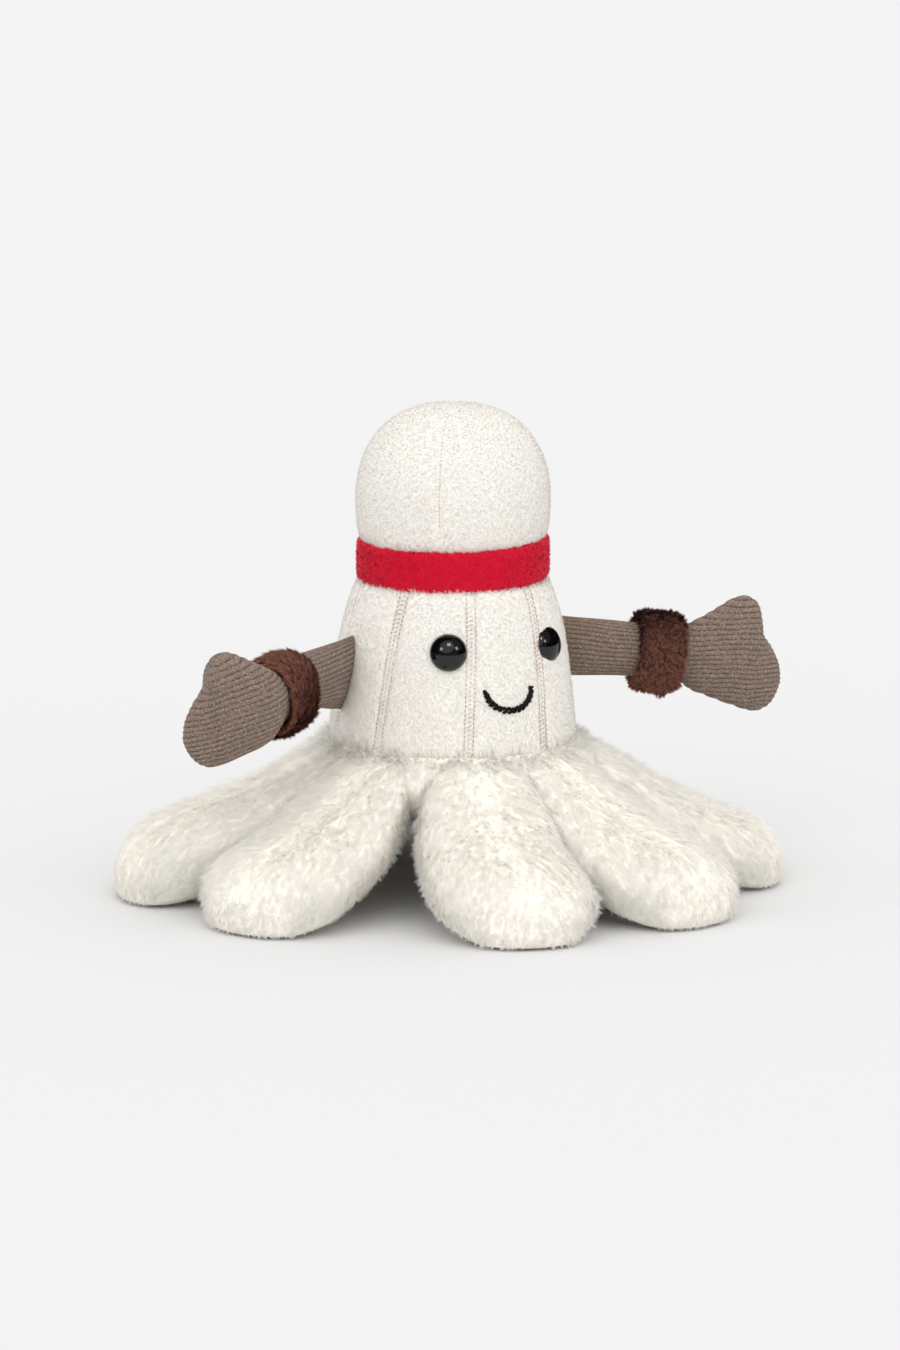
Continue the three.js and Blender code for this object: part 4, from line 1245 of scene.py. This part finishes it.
over = (distance > YOKE_RADIUS - 0.6) * (height <= LIP_START)
note(yoke.data, "grow", (over + (1 + 0.8 * rising) * lip) * step(height, 22, 24))
note(yoke.data, "tall", 0.95 - 0.1 * rising + 0.5 * rising * lumps(points, 3, 9))
note(yoke.data, "stand", 1.3 * rising)
yoke_fur = pile("yoke_fur", yoke, fur_tufts, seed=60, **FUR_BRUSH)
for piece in (yoke, yoke_fur):
    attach(piece, "root")
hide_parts("fur_yoke")
told(yoke)

# %% [markdown]
# ## Arms
# The arms are narrow-waled corduroy tubes, flat where the skirt's seam holds them and full at the
# wrist. Corduroy's ribs, the wales, run along the arm and break the outline where they wrap round an
# edge, so they are raised in the mesh and not only painted. The grooves between them are darker: partly
# the bare ground of the cloth, partly painted shade.

# %% Corduroy finish
CORD_RIDGE = srgb(133, 114, 101)
# the grooves' colour: the cloth's bare ground, darkened further with painted shade
CORD_GROOVE_SHADE = srgb(62, 51, 44)


def draw_corduroy(board):
    wale = board.attribute("wale")
    streak = board.grain(0.5, 3.0)
    patch = board.grain(7.0, 2.0)
    # low between the ribs the colour goes to the groove's: partly bare ground, partly painted shade
    base = board.mix(board.spread(wale, 0.15, 0.75), CORD_GROOVE_SHADE, CORD_RIDGE)
    base = board.mix(board.spread(streak, 0.4, 0.6) * 0.5, base, srgb(94, 77, 66))
    fleck = board.grain(0.45, 1.0).over(0.58)
    base = board.mix(fleck * 0.5, base, srgb(176, 155, 138))
    return {
        "Base Color": board.mix(patch * 0.15, base, srgb(108, 90, 77)),
        "Normal": board.bump(streak, 0.3),
    }


corduroy = finish("taupe_corduroy", draw_corduroy, {"Roughness": 0.95, "Sheen Weight": 0.12})
WALE = 1.2  # from one rib to the next
WALE_HEIGHT = 0.38


def ribs(across):
    """Height of the ribs from 0 to 1 at a distance across the cloth: round ridges, narrow grooves."""
    return np.abs(np.cos(np.pi * across / WALE)) ** 0.7


# %% Frames of the arms
CAD_WALL = [(36.3, 30.3), (57, 28.1), (71, 25.6), (75.2, 23.9), (76.2, 22.2)]  # the solids' skirt
ARM_AZIMUTH = 100
ARM_HEIGHT = 55.5
RAISE_REACH = 9
SLEEVE_LENGTH = 36.6
WRIST_REACH = 5.6
ARM_POSES = {
    "left": {"side": 1, "swing": 28, "droop": 12, "bend": 0, "tip": 3},
    "right": {"side": -1, "swing": 47, "droop": 11, "bend": 51, "tip": 10},
}


def turned(axis, degrees):
    return Matrix.Rotation(math.radians(degrees), 4, axis)


def arm_frames(pose):
    """Frames with x along the arm and z up through the thumb: swing, sleeve, wrist and palm."""
    azimuth = pose["side"] * ARM_AZIMUTH
    wall = float(smooth(CAD_WALL, ARM_HEIGHT))
    slope = float(smooth(CAD_WALL, ARM_HEIGHT - 8) - smooth(CAD_WALL, ARM_HEIGHT + 8)) / 16
    seam = Matrix.Translation(Vector(around(azimuth, wall + 0.3 + 1, ARM_HEIGHT)))
    seam = seam @ turned("Z", azimuth - 90) @ turned("Y", -math.degrees(math.atan(slope)))
    swing = seam @ turned("Z", -pose["side"] * pose["swing"])
    lift = swing @ Matrix.Translation((RAISE_REACH, 0, 0)) @ turned("Y", pose["droop"])
    sleeve = lift @ Matrix.Translation((-RAISE_REACH, 0, 0))
    wrist = lift @ Matrix.Translation((SLEEVE_LENGTH + 0.3 + WRIST_REACH - RAISE_REACH, 0, 0))
    palm = wrist @ turned("Z", pose["side"] * pose["bend"]) @ turned("Y", pose["tip"])
    return [np.array(frame_found) for frame_found in (swing, sleeve, wrist, palm)]


def moved(matrix, points):
    return points @ matrix[:3, :3].T + matrix[:3, 3]


# %% Sleeve skin
SLEEVE_ROOT = -2
SLEEVE_END = 37.2
SLEEVE_HEIGHTS = {
    "left": [(SLEEVE_ROOT, 7.5), (3, 7.4), (9, 7.2), (16, 6.9), (29, 6.6), (SLEEVE_END, 6.6)],
    "right": [(SLEEVE_ROOT, 10.0), (3, 8.9), (9, 8.1), (16, 7.3), (29, 6.7), (SLEEVE_END, 6.6)],
}
SLEEVE_HALVES = [(SLEEVE_ROOT, 0.9), (1, 1.4), (4, 2.5), (9, 3.9), (18, 5.2), (29, 5.4), (SLEEVE_END, 5.2)]
SAG = {"left": (1.2, 1.2), "right": (2.2, 0.8)}  # how far the root and the cuff hang below the CAD's
FORWARD = {"left": 0, "right": 3.9}  # how far the root is sewn in front of the CAD's
ROOT_TWIST = {"left": 0, "right": 0.15}  # how much further forward its top edge is
ROOT_SLANT = {"left": 0, "right": 0.42}
ROOT_SHIFT = {"left": 0, "right": 0.8}  # how much nearer the axis the root is sewn
SLEEVE_WALES = 34
SLEEVE_COLUMNS = SLEEVE_WALES * 8


def even_turns(height, half, columns):
    """Turns at which a rounded section's points are the same distance apart along it."""
    fine = np.linspace(0, 1, 721)
    z, y = rounded(fine)
    run = np.hypot(np.diff(z * height), np.diff(y * half))
    length = np.concatenate(([0], np.cumsum(run)))
    return np.interp(np.linspace(0, length[-1], columns + 1), length, fine)


sleeve_turns = even_turns(7.0, 5.0, SLEEVE_COLUMNS)


def hang(side, points):
    """Moves a sleeve's or cuff's points to where the soft arm hangs."""
    x = points[:, 0]
    at_root, at_cuff = SAG[side]
    sag = at_cuff + (at_root - at_cuff) * (1 - step(x, SLEEVE_ROOT, 28))
    forward = (FORWARD[side] + ROOT_TWIST[side] * points[:, 2]) * (1 - step(x, SLEEVE_ROOT, 24))
    slant = -(ROOT_SLANT[side] * points[:, 2] + ROOT_SHIFT[side]) * (1 - step(x, SLEEVE_ROOT, 14))
    return points + np.stack((slant, forward, -sag), 1)


def sleeve_piece(side, sleeve_frame):
    def place(turn, share):
        x = SLEEVE_ROOT + (SLEEVE_END - SLEEVE_ROOT) * np.clip(share, 0, 0.97) / 0.97
        tail = np.clip((share - 0.97) / 0.03, 0, 1)
        inside = (share > 1e-6) * (1 - tail)
        even = sleeve_turns[np.round(turn * SLEEVE_COLUMNS).astype(int)]
        z, y = rounded(even)
        height = smooth(SLEEVE_HEIGHTS[side], x) * inside
        return np.stack((x, y * smooth(SLEEVE_HALVES, x) * inside, z * height), 1)

    piece = wrapped(f"sleeve_cloth_{side}", SLEEVE_COLUMNS, 96, place, corduroy)
    points = points_of(piece.data)
    x, y, z = points.T
    normals = normals_of(piece.data)
    turn = np.arctan2(y / smooth(SLEEVE_HALVES, x), z / smooth(SLEEVE_HEIGHTS[side], x)) / (2 * np.pi)
    even_z, even_y = rounded(sleeve_turns)
    seen = np.unwrap(np.arctan2(even_y, even_z)) / (2 * np.pi)
    along_skin = np.interp(np.mod(turn, 1), seen, np.linspace(0, 1, SLEEVE_COLUMNS + 1))
    wave = ribs(
        along_skin * SLEEVE_WALES * WALE + 0.25 * lumps(points, 6, 91) + 0.1 * lumps(points, 1.6, 92)
    )
    fold = 0.4 * lumps(points * (0.35, 1, 1), 4.5, 90) * step(x, 0, 5)
    points = points + normals * (WALE_HEIGHT * (wave - 0.6) + fold)[:, None]
    move_to(piece.data, moved(sleeve_frame, hang(side, points)))
    note(piece.data, "wale", wave * step(x, SLEEVE_ROOT + 0.1, SLEEVE_ROOT + 0.9))
    return piece


# %% [markdown]
# ## Hands
# A hand is a mitten of two corduroy pieces, sewn round the edge and stuffed: a thumb that stands up,
# a notch beside it and a round palm. Its heel is pushed into the cuff and turns at the wrist from the
# sleeve's way to the palm's. The wales cross both faces side by side, so they meet the edge seam in small
# steps.

# %% Hand skin
HAND_HEEL = -8.5
HAND_TIP = 19
HAND_TOP = [(HAND_HEEL, 6.4), (-5.9, 7.5), (-2.6, 9.3), (0.6, 11.6), (2.9, 13.3), (4.4, 14.2), (6.4, 14.7)]
HAND_TOP += [(8.3, 14.5), (9.8, 13.5), (10.7, 12.1), (11.2, 10.4), (11.5, 8.5), (12, 6.8), (13, 5.1)]
HAND_TOP += [(14.8, 3.1), (16.4, 1.1), (17.8, -1), (18.5, -3), (HAND_TIP, -5.6)]
HAND_BOTTOM = [(HAND_HEEL, -6.9), (-6, -8), (-4, -9), (0, -10.2), (2.5, -11), (5.7, -12), (9, -12.9)]
HAND_BOTTOM += [(12.2, -13.3), (14, -13.1), (16, -12), (17.5, -10.4), (18.5, -8.4), (HAND_TIP, -6.2)]
HAND_HALF = [(HAND_HEEL, 5), (-5, 5.5), (0, 6.1), (6, 6.4), (10, 6.1), (13, 5.3), (15, 4.4), (17, 3)]
HAND_HALF += [(18.4, 1.7), (HAND_TIP, 0.7)]
WRIST_START = -7  # from here to WRIST_STOP the cloth turns from the sleeve's way to the palm's
WRIST_STOP = 3
WALE_TILT = {"left": -3, "right": 12}  # degrees between the wales and the hand's length
WALE_FAN = 0.15
FAN_START = 16.8  # where the hand is taller than this, its wales fan out
HEEL_FROM = 2  # on the right hand, what is nearer the wrist than this is drawn together
HEEL_SHARE = 0.86  # to this share of its length
EDGE_DROP = 0.9  # how much lower the right thumb's top and the left palm's lower edge are than the CAD's

fine = np.linspace(HAND_HEEL, HAND_TIP, 800)
top_steps = np.abs(np.diff(smooth(HAND_TOP, fine)))
bottom_steps = np.abs(np.diff(smooth(HAND_BOTTOM, fine)))
outline_steps = np.hypot(np.diff(fine), (top_steps + bottom_steps) / 2)
outline_run = np.concatenate(([0], np.cumsum(outline_steps)))


def place_hand(turn, share):
    x = np.interp(share * outline_run[-1], outline_run, fine)
    top, bottom = smooth(HAND_TOP, x), smooth(HAND_BOTTOM, x)
    z, y = rounded(turn, 2.15)
    within = (share > 1e-6) & (share < 1 - 1e-6)
    z = z * within * (top - bottom) / 2 + (top + bottom) / 2
    return np.stack((x, y * within * smooth(HAND_HALF, x), z), 1)


def hand_piece(side, wrist_frame, palm_frame):
    piece = wrapped(f"hand_cloth_{side}", 300, 120, place_hand, corduroy)
    points = points_of(piece.data)
    if side == "right":
        nearer = HEEL_FROM + (points[:, 0] - HEEL_FROM) * HEEL_SHARE
        points[:, 0] = np.where(points[:, 0] < HEEL_FROM, nearer, points[:, 0])
        points[:, 2] -= EDGE_DROP * step(points[:, 2], 8, 14)
    else:
        points[:, 2] -= EDGE_DROP * step(-points[:, 2], 6, 12)
    x, y, z = points.T
    normals = normals_of(piece.data)
    tilt = math.radians(WALE_TILT[side])
    widening = np.maximum((smooth(HAND_TOP, x) - smooth(HAND_BOTTOM, x)) / FAN_START, 1)
    across = (z * math.cos(tilt) + x * math.sin(tilt)) / (1 + WALE_FAN * (widening - 1))
    wave = ribs(across + 0.3 * lumps(points, 7, 96) + 0.1 * lumps(points, 1.6, 97))
    rim = bell(y, 0.45) * step(x, -3, 0)
    fold = 0.3 * lumps(points * (0.5, 1, 1), 5, 95)
    points = points + normals * (WALE_HEIGHT * (wave - 0.6) + fold - 0.3 * rim)[:, None]
    points[:, 2] -= (SAG[side][1] - 0.2) * (1 - step(x, -6, 8))
    bent = step(x, WRIST_START, WRIST_STOP)[:, None]
    move_to(piece.data, moved(wrist_frame, points) * (1 - bent) + moved(palm_frame, points) * bent)
    note(piece.data, "wale", wave)
    return piece


# %% [markdown]
# ## Cuffs
# Each wrist wears a hoop of dark brown fur. On one arm the pile is brushed in arcs round the hoop, on
# the other it has matted into curls, with a knot at its lower edge. The brushed cuff's fur is a lighter
# copy of the same brown, painted light because more light falls on that cuff.

# %% Brown fur
def draw_hair(root, middle, end, dark):
    """How to draw hair that changes from its root to its end, with some darker tufts."""

    def draw(board):
        base = board.ramp(board.attribute("tip"), [(0.0, root), (0.5, middle), (1.0, end)])
        return {"Base Color": board.mix(board.attribute("shade") * 0.6, base, dark)}

    return draw


def draw_brown_back(board):
    return {"Base Color": board.mix(board.grain(0.8), srgb(52, 29, 23), srgb(74, 43, 35))}


brown_shine = {"Roughness": 0.9, "Specular IOR Level": 0.3}
draw_brown = draw_hair(srgb(46, 23, 18), srgb(96, 57, 45), srgb(160, 108, 90), srgb(66, 37, 29))
# a lighter copy of the same brown for the brushed cuff: painted light, as more light falls on that cuff
draw_lit_brown = draw_hair(srgb(62, 32, 25), srgb(128, 78, 63), srgb(188, 128, 106), srgb(86, 48, 39))
brown_fur = finish("brown_fur", draw_brown, brown_shine)
lit_brown_fur = finish("brown_fur_painted_lighter", draw_lit_brown, brown_shine)
brown_back = finish("brown_back", draw_brown_back, {"Roughness": 1.0})
BROWN_TUFTS = {
    "left": tufts("brown_tuft", 8, 9, 1.6, 0.24, 0.14, 0.22, brown_fur),
    "right": tufts("combed_tuft", 8, 9, 2.0, 0.2, 0.16, 0.16, lit_brown_fur),
}
CUFF_MIDDLE = {"left": 28.4, "right": 31.2}
CUFF_HALF = {"left": 5.4, "right": 5.6}
BROWN_BRUSH = {
    "left": {"lean": 42, "swirl": 1.7, "swirl_size": 1.3, "jitter": 0.35, "strays": 1.2},
    "right": {"lean": 28, "swirl": 0.5, "swirl_size": 1.6, "jitter": 0.2, "strays": 1.0},
}
for brush in BROWN_BRUSH.values():
    brush.update({"per_mm2": 4.5, "soften": 0.3})
CUFF_HOLE = (6.9, 5.5)  # half height and half thickness of the arm inside it


def cuff_piece(side, sleeve_frame):
    def place(turn, share):
        along, out = rounded(share, 3.0)
        z, y = rounded(turn)
        x = CUFF_MIDDLE[side] + CUFF_HALF[side] * along
        knot = 1.5 * bell(along - 0.4, 0.3) * bell(turn - 0.5, 0.03) * (out > 0) * (side == "left")
        raised = 1.4 + 1.2 * out + knot
        return np.stack((x, y * (CUFF_HOLE[1] + raised), z * (CUFF_HOLE[0] + raised)), 1)

    piece = wrapped(f"cuff_skin_{side}", 96, 40, place, brown_back)
    points = points_of(piece.data)
    x, y, z = points.T
    ring = np.stack((0 * x, -z, y), 1)
    ring /= np.linalg.norm(ring, axis=1, keepdims=True)
    away = np.hypot(y / (CUFF_HOLE[1] + 1.4), z / (CUFF_HOLE[0] + 1.4))
    note(piece.data, "comb", (ring * 0.8 + np.array((0.45, 0, 0))) @ sleeve_frame[:3, :3].T)
    note(piece.data, "grow", step(away, 0.86, 0.94))
    note(piece.data, "tall", np.ones(len(points)))
    note(piece.data, "stand", np.zeros(len(points)))
    points = points + normals_of(piece.data) * (0.3 * lumps(points, 3.5, 97))[:, None]
    move_to(piece.data, moved(sleeve_frame, hang(side, points)))
    return piece


# %% Sew the arms on
for side, pose in ARM_POSES.items():
    swing, upper, wrist, palm = arm_frames(pose)
    sleeve = sleeve_piece(side, upper)
    near, far = [Vector(moved(swing, np.array((x, 0, 0)))) * MM for x in (3, 13)]
    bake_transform(sleeve)
    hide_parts(f"arm_tab_{side}", f"sleeve_{side}", f"sleeve_filling_{side}")

    hand = hand_piece(side, wrist, palm)
    near, far = [Vector(moved(wrist, np.array((x, 0, 0)))) * MM for x in (WRIST_START, WRIST_STOP)]
    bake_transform(hand)
    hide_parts(f"hand_{side}", f"hand_filling_{side}")

    cuff = cuff_piece(side, upper)
    cuff_fur = pile(f"cuff_fur_{side}", cuff, BROWN_TUFTS[side], seed=80, **BROWN_BRUSH[side])
    for piece in (cuff, cuff_fur):
        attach(piece, f"arm_{side}")
    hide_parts(f"cuff_{side}")
    for piece in (sleeve, hand, cuff):
        told(piece)

# %% [markdown]
# ## Underneath and inside
# A felt disc closes the body between the legs and holds a pouch of beads. The stuffing, the pouch and
# the washers behind the eyes never show, but they are part of the toy, so they get a plain finish of
# their own.


# %% Felt base and what is inside
def draw_felt(board):
    fibre = board.grain(0.5, 4.0)
    base = board.mix(fibre, srgb(206, 196, 178), srgb(232, 225, 211))
    return {"Base Color": base, "Normal": board.bump(fibre, 0.2)}


def draw_stuffing(board):
    wisps = board.grain(2.0, 5.0)
    base = board.mix(wisps, srgb(226, 226, 222), srgb(246, 246, 244))
    return {"Base Color": base, "Normal": board.bump(wisps, 0.6)}


def draw_washer(board):
    moulded = board.grain(3.0)
    base = board.mix(moulded, srgb(216, 216, 210), srgb(226, 226, 221))
    return {"Base Color": base, "Roughness": moulded * 0.1 + 0.45}


felt = finish("felt", draw_felt, {"Roughness": 1.0, "Sheen Weight": 0.2})
stuffing = finish("stuffing", draw_stuffing, {"Roughness": 1.0})
washer = finish("washer_plastic", draw_washer)
profile = [(0, 18.7), (8, 18.75), (16, 19.0), (22.5, 19.4), (24.6, 19.7), (25.1, 20.0)]
profile += [(24.6, 20.3), (0, 20.3)]
base = spun("base_felt", profile, 90, felt)
points = points_of(base.data)
azimuth, radius, height = polar(points)
under = height < 20
puckers = 0.18 * np.cos(np.radians(azimuth * 27)) * step(radius, 14, 24)
points[:, 2] -= under * (0.25 * lumps(points, 5, 14) + puckers)
move_to(base.data, points)
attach(base, "root")
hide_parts("base_disc")
told(base)
INSIDE = {"cork_filling": stuffing, "body_filling": stuffing, "bead_pouch": felt}
INSIDE.update({"eye_washer_left": washer, "eye_washer_right": washer})
for name, inside_finish in INSIDE.items():
    frame["nodes"][name].material_slots[0].material = inside_finish
print("finished inside:", list(INSIDE))

# %% Tuft collections that are no longer needed
for collection in (nap_tufts, fur_tufts, *BROWN_TUFTS.values()):
    discard(collection)
